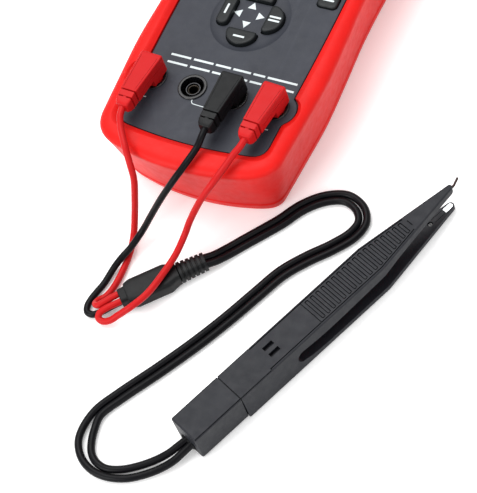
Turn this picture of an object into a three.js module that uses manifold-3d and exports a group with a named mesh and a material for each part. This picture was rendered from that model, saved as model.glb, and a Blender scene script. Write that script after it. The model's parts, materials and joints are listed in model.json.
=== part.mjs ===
// A handheld LCR meter in a rubber holster, with its test lead: three shrouded elbow plugs, three single
// leads, a moulded junction, two cords and a pair of tweezers with a contact on each arm.
// Millimetres, +Z up. The origin is the middle of the holster's flat back, and +Y runs to the display end.
import * as THREE from 'three';
import { mergeVertices } from 'three/addons/utils/BufferGeometryUtils.js';
import Module from 'manifold-3d';

const wasm = await Module();
wasm.setup();

// ---- Driving dimensions -------------------------------------------------------------------------
const GAP = 0.3;                    // clearance between pieces that would touch
const METER_END = 96.5;             // half of the meter's length
const CREASE_Z = 33;                // height of the holster's widest line
const WALL_LEAN = 6.2;              // how far the walls lean in from the crease to the base
const RIM_Z = 36;                   // top of the holster's rim
const LIP_Z = 34.3;                 // the rim falls to this height at its inner edge
const LIP_REACH = 3.4;              // how far outwards that slope runs
const OPENING_CLEAR = 0.5;          // round the panel, in the holster's opening
const HOLSTER_WALL = 3.4;
const HOLSTER_FLOOR = 4.6;
const PANEL_Z = 34;                 // the front panel's face
const SHOULDER_Z = 32;              // the part of the front case that the holster's rim covers
const CASE_SPLIT_Z = 19;            // where the two case shells meet
const CASE_FLOOR_Z = HOLSTER_FLOOR + GAP + 0.1;
const CASE_INSET = HOLSTER_WALL + GAP;
const CASE_WALL = 2.2;
const CASE_TOP_WALL = 1.4;
const BOSS_R = 3.2;                 // the screw bosses of both shells
const BOSS_HOLE_R = 1.8;

const JACK_Y = -57.5;
const JACK_PITCH = 19;              // standard spacing of 4 mm sockets
const JACK_XS = [-1.5, -0.5, 0.5, 1.5].map((n) => n * JACK_PITCH);
const JACK_DEPTH = 20;
const JACK_BORE_R = 4.9;
const JACK_HOLE_R = 5.9;            // each socket's hole in the front case
const CONTACT = { inner: 2.2, outer: 2.45 };
const SLEEVE_TUBE = { inner: 2.75, outer: 3.15 };
const PANEL_HALF = 34.5;            // half of the panel's width beside the sockets
const NOTCH_X = 30.4;               // the panel bulges round the two outer sockets, in arcs about this x
const NOTCH_R = 7.7;

const DISH_X = -0.8;
const DISH_Y = -17.5;
const DISH_R = 17.9;
const DISH_DEPTH = 1.2;
const BUTTON_TRAVEL = 0.8;
const BUTTON_CLEAR = 0.35;          // round each button, in its hole
const BUTTON_PROUD = 1.2;
const FLANGE_GROW = 0.5;            // the flange under each button is this much wider than the button
const FLANGE_THICK = 0.5;

const LCD_Y = 52;
const LCD_WIDTH = 60;
const LCD_HEIGHT = 44;

const BOARD_Z = 26;
const BOARD_THICK = 1.6;
const BOARD_TOP = BOARD_Z + BOARD_THICK;
const MAT_THICK = 0.7;
const MAT_LOW = BOARD_TOP + GAP;
const FLANGE_LOW = MAT_LOW + MAT_THICK + BUTTON_TRAVEL + GAP;
const SCREW_SPOTS = [[-27, -74], [27, -74], [-25, 81], [25, 81]];

const BATTERY = { width: 26.5, length: 48.5, height: 17.5, y: 10 };
const BAY = { width: 30, length: 54 };
const BAY_LOW_Y = BATTERY.y - BAY.length / 2;
const BAY_HIGH_Y = BATTERY.y + BAY.length / 2;
const DOOR_LIP = 1.8;               // the door is this much wider than the bay, on each side
const DOOR_TAB = 8;                 // and runs this far past its lower end
const DOOR_SCREW_Y = BAY_LOW_Y - DOOR_TAB / 2;

const STAND_HINGE_Y = 42;
const STAND_HINGE_Z = 1.9;
const STAND_HALF_WIDTH = 28;
const STAND_END_Y = -46;
const STAND_BAR = 9;                // width of the bail's legs and of its cross bar
const STAND_THICK = 2.6;
const STAND_RECESS = 3.6;           // depth of the recess in the holster's back that the stand folds into
const STAND_CLEAR = 0.5;            // round the stand, in its recess
const STAND_PIN_R = 0.6;
const STAND_BORE_R = 0.9;
const STAND_PIN_HALF = STAND_HALF_WIDTH + 2.5;

const LEAD_D = 2.9;
const CORD_D = 3.2;
const CORD_SPREAD = 1.75;           // each of the two cords runs this far to one side of their middle line
const PLUG_EXIT = 22.4;             // from the socket's axis to where the lead leaves the plug
const PLUG_BASE = 1.1;              // over the panel: the moulding stops just over the socket's rim

const JUNCTION = { x: -9.1, y: -145.5, turn: -44.5, length: 38.8, middleZ: 4 };
const TWEEZERS = { x: 46.6, y: -194.5, turn: -23.4, height: 14.8, halfWidth: 7.3 };
const CAP_LENGTH = 24.2;
const ARM_ROOT = 55.5;              // along the tweezers, where the slot between the arms starts
const ARM_TAPER = 101;
const ARM_TIP = 146.3;
const SLOT_MIDDLE_Z = 7;
const BODY_DRAFT = 1;               // the sides of the body spread by this much towards the base
const SLOT_R = 2.9;                 // radius of the slot's round end
const BODY_END = ARM_ROOT - SLOT_R - GAP;
const CHANNEL = { half: 2.6, low: 5.2, high: 8.8 };
const RIB_COUNT = 18;
const RIB_FIRST = 69.7;
const RIB_PITCH = 2.88;
const RIB_WIDTH = 1.3;
const RIB_DEPTH = 0.45;
const RIB_MARGIN = 2.1;             // between the ribs' ends and the arm's edges
const LOWER_ARM_END = 144.4;
const CONTACT_SCREW_Y = 132;
const PIN_Z = 12.9;                 // height of the upper arm's contact pin

// ---- Routes of the leads and cords, from the plug or the junction to the far end ----------------
const LEAD_ROUTES = {
  lead_red_left: [
    [-29.4, -80.3, 42.3], [-28.9, -83.6, 41.6], [-26.9, -87.9, 39.8], [-21.6, -95.3, 37.8],
    [-18.6, -99.6, 33.6], [-17.0, -102.6, 27.8], [-17.2, -106.6, 18.8], [-18.2, -109.9, 10],
    [-18.1, -114.3, 4.1], [-16.6, -121.8, 1.8], [-15.4, -133, 1.6], [-15.7, -141.2, 1.6],
    [-16.9, -145.5, 1.7], [-18.5, -147.9, 2.3], [-18.5, -150.5, 3.5], [-16.5, -151.3, 4.8],
    [-14.3, -149.1, 5.2], [-12.5, -146.6, 5.2], [-10.75, -144.55, 5.2],
  ],
  lead_black: [
    [9.0, -80.2, 42.3], [8.9, -83.4, 41.6], [8.4, -87.2, 39.9], [6.4, -95.3, 38.2],
    [2.9, -102.1, 34.2], [-2.6, -106.8, 25.8], [-8.2, -110.7, 16], [-12.4, -115.1, 8.6],
    [-15.4, -122.6, 5.2], [-17.1, -127.2, 4.6], [-19, -131.3, 2.8], [-20.4, -139.9, 1.6],
    [-21.5, -144.5, 1.6], [-22.3, -148.4, 1.6], [-22.3, -151.8, 1.6], [-21.0, -154.3, 1.6],
    [-18.3, -154.6, 1.6], [-15.5, -152.5, 1.6], [-12.5, -149.1, 1.8], [-9.35, -145.9, 2.1],
  ],
  lead_red_right: [
    [27.0, -80.2, 42.3], [26.3, -83.4, 41.7], [24.8, -86.6, 40.6], [23.2, -92.1, 39.2],
    [21.2, -98.5, 37.6], [16.6, -104.3, 31.4], [10.9, -110.3, 20.2], [8.9, -114.2, 14.6],
    [7.5, -122.4, 10.9], [5.8, -132.4, 10], [3.6, -142.3, 9.9], [-0.7, -148.9, 8.4],
    [-3.5, -151.1, 6.6], [-6.3, -153.2, 4.8], [-9.0, -155.4, 3.3], [-12.1, -156.6, 2.7],
    [-14.3, -156.0, 3.1], [-14.4, -154.1, 4.2], [-12.3, -151.5, 5.1], [-9.9, -149, 5.2],
    [-8.1, -147.1, 5.2],
  ],
};
const CORD_ROUTE = [
  [18.35, -117.55, 4], [20.4, -115.4, 3.4], [24.3, -109.4, 1.9], [28.3, -104.0, 1.7], [33.0, -98.0, 1.7],
  [38.9, -90.4, 1.7], [45.0, -81.0, 1.7], [52.8, -74.2, 1.7], [61.1, -71.6, 1.7], [68.4, -74.6, 1.7],
  [71.8, -80.4, 1.7], [70.4, -87.0, 1.7], [64.8, -94.8, 1.7], [56.8, -103.3, 1.7], [49.6, -112.6, 1.7],
  [44.2, -123.7, 1.7], [37.2, -138.5, 1.7], [29.6, -152.9, 1.7], [20.0, -168.9, 1.7], [9.9, -184.5, 1.7],
  [4.6, -194.0, 1.7],
];
const CORD_ENDS = {
  cord_outer: [
    [1.6, -201.5, 1.7], [2.6, -208.0, 1.7], [6.6, -213.6, 1.7], [12.8, -217.2, 1.7], [20.2, -218.1, 1.7],
    [28.5, -216, 1.7], [35.5, -211.6, 1.8], [40.8, -207.2, 2.6], [44.4, -203.3, 3.8], [46.5, -199.2, 4.4],
  ],
  cord_inner: [
    [6.4, -200.5, 1.7], [7.8, -206.2, 1.7], [10.2, -210.9, 1.7], [14, -213.9, 1.7], [18.9, -214.9, 1.7],
    [24.8, -213.3, 1.7], [31.0, -209.6, 1.8], [36.8, -205.2, 2.6], [41.0, -201.2, 3.8], [43.3, -197.8, 4.4],
  ],
};

// ---- Materials ----------------------------------------------------------------------------------
function paint(color, roughness, metalness = 0) {
  return new THREE.MeshStandardMaterial({ color, roughness, metalness });
}

const RED_RUBBER = paint(0xe0302c, 0.45);
const RED_VINYL = paint(0xd92f33, 0.4);
const PANEL_GREY = paint(0x45484d, 0.5);
const KEY_GREY = paint(0x303338, 0.45);
const BLACK_PLASTIC = paint(0x17181a, 0.4);
const BLACK_VINYL = paint(0x1d1d1f, 0.45);
const CHARCOAL = paint(0x3c3d41, 0.5);
const STEEL = paint(0xc6c8ca, 0.3, 1);
const BRASS = paint(0xc9a35a, 0.35, 1);
const GLASS = paint(0xb9c4b4, 0.1);
const SMOKED = paint(0x2b2f33, 0.1);
const BOARD_GREEN = paint(0x1f6b3a, 0.6);
const CELL_BLUE = paint(0x2f4f7f, 0.4);
const SILICONE = paint(0x8c8f92, 0.7);

// ---- Building blocks ----------------------------------------------------------------------------
const model = new THREE.Group();

// A closed geometry whose faces all point in is turned so that they point out.
function facingOut(geometry) {
  const plain = geometry.index ? geometry.toNonIndexed() : geometry;
  const corners = plain.attributes.position;
  const [a, b, c] = [new THREE.Vector3(), new THREE.Vector3(), new THREE.Vector3()];
  let volume = 0;
  for (let corner = 0; corner < corners.count; corner += 3) {
    a.fromBufferAttribute(corners, corner);
    b.fromBufferAttribute(corners, corner + 1);
    c.fromBufferAttribute(corners, corner + 2);
    volume += a.dot(b.cross(c));
  }
  if (volume > 0) return geometry;
  const turnedIndex = geometry.index ? [...geometry.index.array] : [...Array(corners.count).keys()];
  for (let corner = 0; corner < turnedIndex.length; corner += 3) {
    [turnedIndex[corner + 1], turnedIndex[corner + 2]] = [turnedIndex[corner + 2], turnedIndex[corner + 1]];
  }
  geometry.setIndex(turnedIndex);
  return geometry;
}

function addPart(parent, name, geometry, material) {
  const mesh = new THREE.Mesh(facingOut(geometry), material);
  mesh.name = name;
  parent.add(mesh);
  return mesh;
}

// A closed geometry as a boolean solid.
function solid(geometry) {
  const plain = facingOut(geometry.clone());
  plain.deleteAttribute('normal');
  plain.deleteAttribute('uv');
  const welded = mergeVertices(plain, 1e-4);
  const vertProperties = Float32Array.from(welded.attributes.position.array);
  const triVerts = Uint32Array.from(welded.index.array);
  return new wasm.Manifold(new wasm.Mesh({ numProp: 3, vertProperties, triVerts }));
}

// A boolean solid as a geometry.
function geometryOf(shape) {
  const mesh = shape.getMesh();
  const geometry = new THREE.BufferGeometry();
  geometry.setAttribute('position', new THREE.BufferAttribute(mesh.vertProperties, 3));
  geometry.setIndex(new THREE.BufferAttribute(mesh.triVerts, 1));
  return geometry;
}

const joined = (solids) => solids.reduce((whole, next) => whole.add(next));

// A box from its lowest corner to its highest one.
function box(low, high) {
  const size = high.map((value, axis) => value - low[axis]);
  const middle = high.map((value, axis) => (value + low[axis]) / 2);
  return new THREE.BoxGeometry(...size).translate(...middle);
}

// A flat outline given a thickness, from z0 to z1.
function plate(shape, z0, z1) {
  const settings = { depth: z1 - z0, bevelEnabled: false, curveSegments: 2 };
  return new THREE.ExtrudeGeometry(shape, settings).translate(0, 0, z0);
}

function roundedRectangle(width, height, radius, x = 0, y = 0) {
  const shape = new THREE.Shape();
  const right = x + width / 2 - radius;
  const left = x - width / 2 + radius;
  const top = y + height / 2 - radius;
  const bottom = y - height / 2 + radius;
  shape.absarc(right, top, radius, 0, Math.PI / 2);
  shape.absarc(left, top, radius, Math.PI / 2, Math.PI);
  shape.absarc(left, bottom, radius, Math.PI, Math.PI * 1.5);
  shape.absarc(right, bottom, radius, Math.PI * 1.5, Math.PI * 2);
  return shape;
}

// A round bar along Z.
function rod(x, y, z0, z1, radius, sides = 16) {
  const bar = new THREE.CylinderGeometry(radius, radius, z1 - z0, sides).rotateX(Math.PI / 2);
  return bar.translate(x, y, (z0 + z1) / 2);
}

// A turned piece: profile holds [radius, z] pairs, and the axis is Z.
function turned(profile, sides = 20) {
  const points = profile.map(([radius, z]) => new THREE.Vector2(radius, z));
  return new THREE.LatheGeometry(points, sides).rotateX(Math.PI / 2);
}

// A skin through rings that all have the same number of points, closed by a flat cap at each end.
function loft(rings) {
  const count = rings[0].length;
  const positions = rings.flat().flatMap((point) => [point.x, point.y, point.z]);
  const indices = [];
  for (let level = 0; level + 1 < rings.length; level += 1) {
    for (let step = 0; step < count; step += 1) {
      const a = level * count + step;
      const b = level * count + ((step + 1) % count);
      indices.push(a, b, b + count, a, b + count, a + count);
    }
  }
  const last = (rings.length - 1) * count;
  for (let step = 1; step + 1 < count; step += 1) {
    indices.push(0, step + 1, step);
    indices.push(last, last + step, last + step + 1);
  }
  const geometry = new THREE.BufferGeometry();
  geometry.setAttribute('position', new THREE.Float32BufferAttribute(positions, 3));
  geometry.setIndex(indices);
  return geometry;
}

// A cord: a round section drawn along a smooth curve through the points.
function cord(points, diameter, steps) {
  const corners = points.map((point) => new THREE.Vector3(...point));
  const path = new THREE.CatmullRomCurve3(corners, false, 'centripetal');
  const section = new THREE.Shape().absarc(0, 0, diameter / 2, 0, Math.PI * 2);
  const options = { steps, curveSegments: 4, bevelEnabled: false, extrudePath: path };
  return new THREE.ExtrudeGeometry(section, options);
}

// ---- Outlines of the meter ----------------------------------------------------------------------
// Each is drawn for the right half, from the bottom end to the top end, and mirrored.
function wholeOutline(rightHalf, divisions) {
  const right = rightHalf.getSpacedPoints(divisions);
  const left = right.slice(1, -1).reverse().map((point) => new THREE.Vector2(-point.x, point.y));
  return [...right, ...left];
}

// The holster's plan at its crease: bowed ends, a waist over the buttons and wider ends.
function creaseOutline() {
  const half = new THREE.Path().moveTo(0, -METER_END);
  half.quadraticCurveTo(15, -METER_END, 29, -METER_END + 3.8);
  half.bezierCurveTo(37.5, -METER_END + 6, 41.4, -METER_END + 10, 42.4, -80);
  half.splineThru([[43.5, -62], [44.6, -40], [43.9, -18], [42.8, 6], [43.2, 30], [44.4, 56], [44.2, 76]]
    .map(([x, y]) => new THREE.Vector2(x, y)));
  half.bezierCurveTo(43.6, 86, 39.5, METER_END - 4.5, 30, METER_END - 2.4);
  half.quadraticCurveTo(15, METER_END, 0, METER_END);
  return wholeOutline(half, 24);
}

// The panel's plan: its long sides bulge round the two outer sockets.
function panelOutline() {
  const notchHalfAngle = Math.acos((PANEL_HALF - NOTCH_X) / NOTCH_R);
  const half = new THREE.Path().moveTo(0, -83.8);
  half.quadraticCurveTo(14, -83.8, 28.5, -81.8);
  half.quadraticCurveTo(33.8, -81, 34.3, -76);
  half.lineTo(PANEL_HALF, -66);
  half.absarc(NOTCH_X, JACK_Y, NOTCH_R, -notchHalfAngle, notchHalfAngle);
  half.splineThru([[35.1, -26], [35.2, 0], [35, 40], [34.8, 78]].map(([x, y]) => new THREE.Vector2(x, y)));
  half.quadraticCurveTo(34.4, 86.4, 27, 87.6);
  half.quadraticCurveTo(14, 89.4, 0, 89.4);
  return wholeOutline(half, 34);
}

// An outline moved inwards along its own normals.
function inset(outline, distance) {
  const count = outline.length;
  return outline.map((point, index) => {
    const along = outline[(index + 1) % count].clone().sub(outline[(index + count - 1) % count]).normalize();
    return new THREE.Vector2(point.x - along.y * distance, point.y + along.x * distance);
  });
}

const CREASE = creaseOutline();
const PANEL = panelOutline();

// A ring of the leaning wall at height z, moved in by distance.
function wallRing(z, distance) {
  const lean = WALL_LEAN * Math.max(0, 1 - z / CREASE_Z);
  return inset(CREASE, lean + distance).map((point) => new THREE.Vector3(point.x, point.y, z));
}

const wallBody = (levels) => solid(loft(levels.map(([z, distance]) => wallRing(z, distance))));
const panelBody = (distance, z0, z1) => solid(plate(new THREE.Shape(inset(PANEL, distance)), z0, z1));

// ---- Buttons ------------------------------------------------------------------------------------
// A half-moon key of the dish. The middle of its round edge is at x, y, and it bulges out at the given angle.
function halfMoon(x, y, angle, grow) {
  const radius = 7.1 + grow;
  const spread = 1.25;              // half of the round edge's angle
  const steps = 10;
  const edge = Array.from({ length: steps + 1 }, (_, step) => {
    const turn = spread * ((2 * step) / steps - 1);
    return [radius * Math.cos(turn), radius * Math.sin(turn)];
  });
  const corner = [
    [1 - 0.3 * grow, 6.8 + grow], [-0.7 * grow, 6.3 + 0.8 * grow], [-0.5 - grow, 5.4 + 0.4 * grow],
  ];
  edge.push(...corner, ...corner.map(([out, side]) => [out, -side]).reverse());
  return new THREE.Shape(edge.map(([out, side]) => new THREE.Vector2(
    x + out * Math.cos(angle) - side * Math.sin(angle),
    y + out * Math.sin(angle) + side * Math.cos(angle),
  )));
}

// An upright rounded rectangle, grown by a clearance.
function rectangleKey(x, y, width, height, radius) {
  return (grow) => roundedRectangle(width + 2 * grow, height + 2 * grow, radius + grow, x, y);
}

const BUTTONS = [
  { name: 'button_dish_right', outline: (grow) => halfMoon(6.9, -16.3, 0, grow) },
  { name: 'button_dish_top', outline: (grow) => halfMoon(-1.1, -7.8, Math.PI / 2, grow) },
  { name: 'button_dish_left', outline: rectangleKey(-12.3, -16.4, 5.6, 15, 2.5) },
  { name: 'button_dish_bottom', outline: (grow) => halfMoon(-1.1, -25.3, -Math.PI / 2, grow) },
  { name: 'button_side_left', outline: rectangleKey(-28.6, -1.1, 9.2, 7, 2) },
  { name: 'button_side_right', outline: rectangleKey(28.6, -1.1, 9.2, 7, 2) },
  ...[-27, -9, 9, 27].map((x, index) => (
    { name: `button_row_${index + 1}`, outline: rectangleKey(x, 16, 11, 6.4, 2) }
  )),
];

// ---- Holster ------------------------------------------------------------------------------------
// The U-shaped bail that props the meter up, seen from above, grown by the given clearance.
// Its legs end at top.
function bailOutline(grow, top) {
  const half = STAND_HALF_WIDTH + grow;
  const inside = STAND_HALF_WIDTH - STAND_BAR - grow;
  const end = STAND_END_Y - grow;
  const bar = STAND_END_Y + STAND_BAR + grow;
  const corners = [
    [-half, end], [half, end], [half, top], [inside, top],
    [inside, bar], [-inside, bar], [-inside, top], [-half, top],
  ];
  return new THREE.Shape(corners.map(([x, y]) => new THREE.Vector2(x, y)));
}

// A round bar along X, on the stand's hinge line.
function hingeRod(x0, x1, radius, sides) {
  return rod(0, 0, x0, x1, radius, sides).rotateY(Math.PI / 2).translate(0, STAND_HINGE_Y, STAND_HINGE_Z);
}

// The holster's opening at height z, opened out by reach in proportion to its width and length.
function panelRing(z, reach) {
  const half = { x: 35, y: 86 };
  return inset(PANEL, -OPENING_CLEAR).map((point) => (
    new THREE.Vector3(point.x * (1 + reach / half.x), point.y * (1 + reach / half.y), z)
  ));
}

function buildHolster() {
  const outside = wallBody([
    [0, 0.7], [0.8, 0], [5.2, -0.2], [5.9, 0.3], [28, 0.2], [31.5, 0], [CREASE_Z, 0.1], [34.3, 0.9],
    [35.3, 2.6], [35.85, 4.6], [RIM_Z, 6.8],
  ]);
  const hollow = wallBody([[HOLSTER_FLOOR, HOLSTER_WALL], [SHOULDER_Z + 0.4, HOLSTER_WALL]]);
  const opening = panelBody(-OPENING_CLEAR, SHOULDER_Z, RIM_Z + 3);
  const slope = solid(loft([panelRing(LIP_Z, 0), panelRing(RIM_Z + 0.1, LIP_REACH)]));
  const recessTop = STAND_HINGE_Y + STAND_THICK / 2 + STAND_CLEAR;
  const recess = solid(plate(bailOutline(STAND_CLEAR, recessTop), -1, STAND_RECESS));
  const pinTunnel = solid(hingeRod(-STAND_PIN_HALF - GAP, STAND_PIN_HALF + GAP, STAND_BORE_R, 12));
  const holster = outside.subtract(joined([hollow, opening, slope, recess, pinTunnel]));
  addPart(model, 'holster', geometryOf(holster), RED_RUBBER);
}

// ---- Case shells and what they hold -------------------------------------------------------------
function buildFrontCase() {
  const low = CASE_SPLIT_Z + GAP;
  const shell = wallBody([[low, CASE_INSET], [SHOULDER_Z, CASE_INSET]]);
  const raised = panelBody(0, SHOULDER_Z - 1, PANEL_Z);
  const inner = CASE_INSET + CASE_WALL;
  const hollow = wallBody([[low - 1, inner], [SHOULDER_Z - CASE_TOP_WALL, inner]]);
  const cuts = [
    hollow,
    solid(plate(roundedRectangle(LCD_WIDTH, LCD_HEIGHT, 2.5, 0, LCD_Y), SHOULDER_Z - 3, PANEL_Z + 1)),
    solid(turned([[0, PANEL_Z - DISH_DEPTH], [DISH_R - 1.6, PANEL_Z - DISH_DEPTH], [DISH_R, PANEL_Z + 0.01],
      [DISH_R, PANEL_Z + 1], [0, PANEL_Z + 1]], 32).translate(DISH_X, DISH_Y, 0)),
    ...BUTTONS.map((button) => solid(plate(button.outline(BUTTON_CLEAR), SHOULDER_Z - 3, PANEL_Z + 1))),
    ...JACK_XS.map((x) => solid(rod(x, JACK_Y, SHOULDER_Z - 3, PANEL_Z + 1, JACK_HOLE_R))),
  ];
  const bosses = SCREW_SPOTS.map(([x, y]) => solid(rod(x, y, low, SHOULDER_Z - 1, BOSS_R, 12)));
  const holes = SCREW_SPOTS.map(([x, y]) => solid(rod(x, y, low - 1, SHOULDER_Z - 3, BOSS_HOLE_R, 10)));
  const finished = joined([shell.add(raised).subtract(joined(cuts)), ...bosses]).subtract(joined(holes));
  addPart(model, 'front_case', geometryOf(finished), PANEL_GREY);
}

function buildRearCase() {
  const inner = CASE_INSET + CASE_WALL;
  const shell = wallBody([[CASE_FLOOR_Z, CASE_INSET], [CASE_SPLIT_Z, CASE_INSET]]);
  const hollow = wallBody([[CASE_FLOOR_Z + 2, inner], [CASE_SPLIT_Z + 1, inner]]);
  const bayX = BAY.width / 2;
  const bay = solid(box([-bayX, BAY_LOW_Y, 0], [bayX, BAY_HIGH_Y, 9]));
  const bosses = SCREW_SPOTS.map(([x, y]) => solid(rod(x, y, CASE_FLOOR_Z, CASE_SPLIT_Z, BOSS_R, 12)));
  const holes = SCREW_SPOTS.flatMap(([x, y]) => [
    solid(rod(x, y, 0, CASE_SPLIT_Z + 1, BOSS_HOLE_R, 10)),
    solid(rod(x, y, 0, CASE_FLOOR_Z + 1.9, 2.9, 12)),
  ]);
  const doorScrewSeat = solid(rod(0, DOOR_SCREW_Y, CASE_FLOOR_Z + 1, 12, 3, 12));
  const doorScrewHole = solid(rod(0, DOOR_SCREW_Y, 0, 11, 1.5, 10));
  const finished = joined([shell.subtract(hollow), ...bosses, doorScrewSeat])
    .subtract(joined([bay, ...holes, doorScrewHole, doorRebate()]));
  addPart(model, 'rear_case', geometryOf(finished), PANEL_GREY);
}

// The rebate in the rear case's floor that the battery door lies in.
function doorRebate() {
  const half = BAY.width / 2 + DOOR_LIP;
  return solid(box([-half, BAY_LOW_Y - DOOR_TAB, 0], [half, BAY_HIGH_Y + DOOR_LIP, CASE_FLOOR_Z + 1.1]));
}

function buildBatteryBay() {
  const half = BAY.width / 2 + DOOR_LIP - GAP;
  const low = BAY_LOW_Y - DOOR_TAB + GAP;
  const high = BAY_HIGH_Y + DOOR_LIP - GAP;
  const door = solid(box([-half, low, CASE_FLOOR_Z], [half, high, CASE_FLOOR_Z + 0.8]));
  const hole = solid(rod(0, DOOR_SCREW_Y, 0, 9, 1.3, 10));
  addPart(model, 'battery_door', geometryOf(door.subtract(hole)), PANEL_GREY);
  const screw = rod(0, DOOR_SCREW_Y, CASE_FLOOR_Z + 0.1, CASE_FLOOR_Z + 5.5, 0.9, 12);
  addPart(model, 'battery_door_screw', screw, STEEL);
  const base = CASE_FLOOR_Z + 2.3;
  const { width, length, height, y } = BATTERY;
  const block = plate(roundedRectangle(width, length, 2.5, 0, y), base, base + height);
  addPart(model, 'battery', block, CELL_BLUE);
  const snap = plate(roundedRectangle(width - 1, 4, 1, 0, y + length / 2 + 2.6), base + 1, base + height - 1);
  addPart(model, 'battery_snap', snap, BLACK_PLASTIC);
}

function buildBoard() {
  const outline = roundedRectangle(68, 166, 4, 0, 2);
  const board = solid(plate(outline, BOARD_Z, BOARD_TOP));
  const holes = [
    ...JACK_XS.map((x) => solid(rod(x, JACK_Y, BOARD_Z - 1, BOARD_Z + 3, 6.1))),
    ...SCREW_SPOTS.map(([x, y]) => solid(rod(x, y, BOARD_Z - 1, BOARD_Z + 3, 3.6, 12))),
  ];
  addPart(model, 'circuit_board', geometryOf(board.subtract(joined(holes))), BOARD_GREEN);
  const underside = BOARD_Z - GAP;
  addPart(model, 'measuring_chip', box([-26, -30, underside - 1.8], [-16, -20, underside]), BLACK_PLASTIC);
  addPart(model, 'buzzer', rod(24, -34, underside - 4.5, underside, 6), BLACK_PLASTIC);
  const mat = plate(roundedRectangle(66, 58, 3, 0, -5), MAT_LOW, MAT_LOW + MAT_THICK);
  addPart(model, 'keypad_mat', mat, SILICONE);
}

function buildDisplay() {
  const lens = roundedRectangle(LCD_WIDTH - 2 * GAP, LCD_HEIGHT - 2 * GAP, 2.2, 0, LCD_Y);
  addPart(model, 'lcd_window', plate(lens, PANEL_Z - 1.7, PANEL_Z - 0.1), SMOKED);
  const cell = box(
    [-LCD_WIDTH / 2 - 1, LCD_Y - LCD_HEIGHT / 2 - 1, BOARD_TOP + 0.5],
    [LCD_WIDTH / 2 + 1, LCD_Y + LCD_HEIGHT / 2 + 1, BOARD_TOP + 2.7],
  );
  addPart(model, 'lcd_cell', cell, GLASS);
}

function buildButtons() {
  for (const button of BUTTONS) {
    const flange = plate(button.outline(FLANGE_GROW), FLANGE_LOW, FLANGE_LOW + FLANGE_THICK);
    const cap = plate(button.outline(0), FLANGE_LOW + FLANGE_THICK / 2, PANEL_Z + BUTTON_PROUD);
    addPart(model, button.name, geometryOf(solid(flange).add(solid(cap))), KEY_GREY);
  }
}

// One screw per corner, all alike.
function buildCaseScrews() {
  const head = CASE_FLOOR_Z + 0.2;
  SCREW_SPOTS.forEach(([x, y], index) => {
    const screw = turned([
      [0, head], [2.6, head], [2.6, head + 1.4], [1.4, head + 1.4], [1.4, 27], [0, 27],
    ], 10);
    addPart(model, `case_screw_${index + 1}`, screw.translate(x, y, 0), STEEL);
  });
}

// ---- Tilt stand ---------------------------------------------------------------------------------
// Each leg ends in a barrel round the hinge pin, as thick as the leg, so that it turns inside its recess.
function buildStand() {
  const low = STAND_HINGE_Z - STAND_THICK / 2;
  const bail = solid(plate(bailOutline(0, STAND_HINGE_Y), low, low + STAND_THICK));
  const inside = STAND_HALF_WIDTH - STAND_BAR;
  const barrels = [[-STAND_HALF_WIDTH, -inside], [inside, STAND_HALF_WIDTH]]
    .map(([x0, x1]) => solid(hingeRod(x0, x1, STAND_THICK / 2, 12)));
  const bore = solid(hingeRod(-STAND_HALF_WIDTH - 1, STAND_HALF_WIDTH + 1, STAND_BORE_R, 12));
  addPart(model, 'tilt_stand', geometryOf(joined([bail, ...barrels]).subtract(bore)), RED_RUBBER);
  const pin = hingeRod(-STAND_PIN_HALF, STAND_PIN_HALF, STAND_PIN_R, 10);
  addPart(model, 'stand_hinge_pin', pin, STEEL);
}

// ---- Sockets ------------------------------------------------------------------------------------
function buildJacks() {
  const floor = PANEL_Z - JACK_DEPTH;
  const mouth = PANEL_Z - 1;
  JACK_XS.forEach((x, index) => {
    const housing = turned([
      [1.3, floor], [5.6, floor], [5.6, PANEL_Z + GAP], [6.3, PANEL_Z + GAP], [6.3, PANEL_Z + 0.7],
      [JACK_BORE_R, PANEL_Z + 0.7], [JACK_BORE_R, floor + 1.6], [SLEEVE_TUBE.outer, floor + 1.6],
      [SLEEVE_TUBE.outer, mouth], [SLEEVE_TUBE.inner, mouth], [SLEEVE_TUBE.inner, floor + 1.6],
      [1.3, floor + 1.6], [1.3, floor],
    ], 16);
    addPart(model, `jack_housing_${index + 1}`, housing.translate(x, JACK_Y, 0), BLACK_PLASTIC);
    const contact = turned([
      [0, floor - 2], [1, floor - 2], [1, floor + 1.9], [CONTACT.outer, floor + 1.9],
      [CONTACT.outer, mouth - 0.6], [CONTACT.inner, mouth - 0.6], [CONTACT.inner, floor + 2.9],
      [0, floor + 2.9],
    ], 14);
    addPart(model, `jack_contact_${index + 1}`, contact.translate(x, JACK_Y, 0), BRASS);
  });
}

// ---- Plugs --------------------------------------------------------------------------------------
// A ring of a plug's moulding at y, a rectangle with cut corners: half to both sides, and from low to high.
function plugRing(y, half, low, high, cut) {
  return [
    [half, low + cut], [half, high - cut], [half - cut, high], [cut - half, high],
    [-half, high - cut], [-half, low + cut], [cut - half, low], [half - cut, low],
  ].map(([x, z]) => new THREE.Vector3(x, y, z));
}

const PLUGS = [
  { name: 'plug_red_left', jack: 0, turn: -2.3, material: RED_VINYL },
  { name: 'plug_black', jack: 2, turn: -1.3, material: BLACK_VINYL },
  { name: 'plug_red_right', jack: 3, turn: -3.8, material: RED_VINYL },
];

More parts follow.
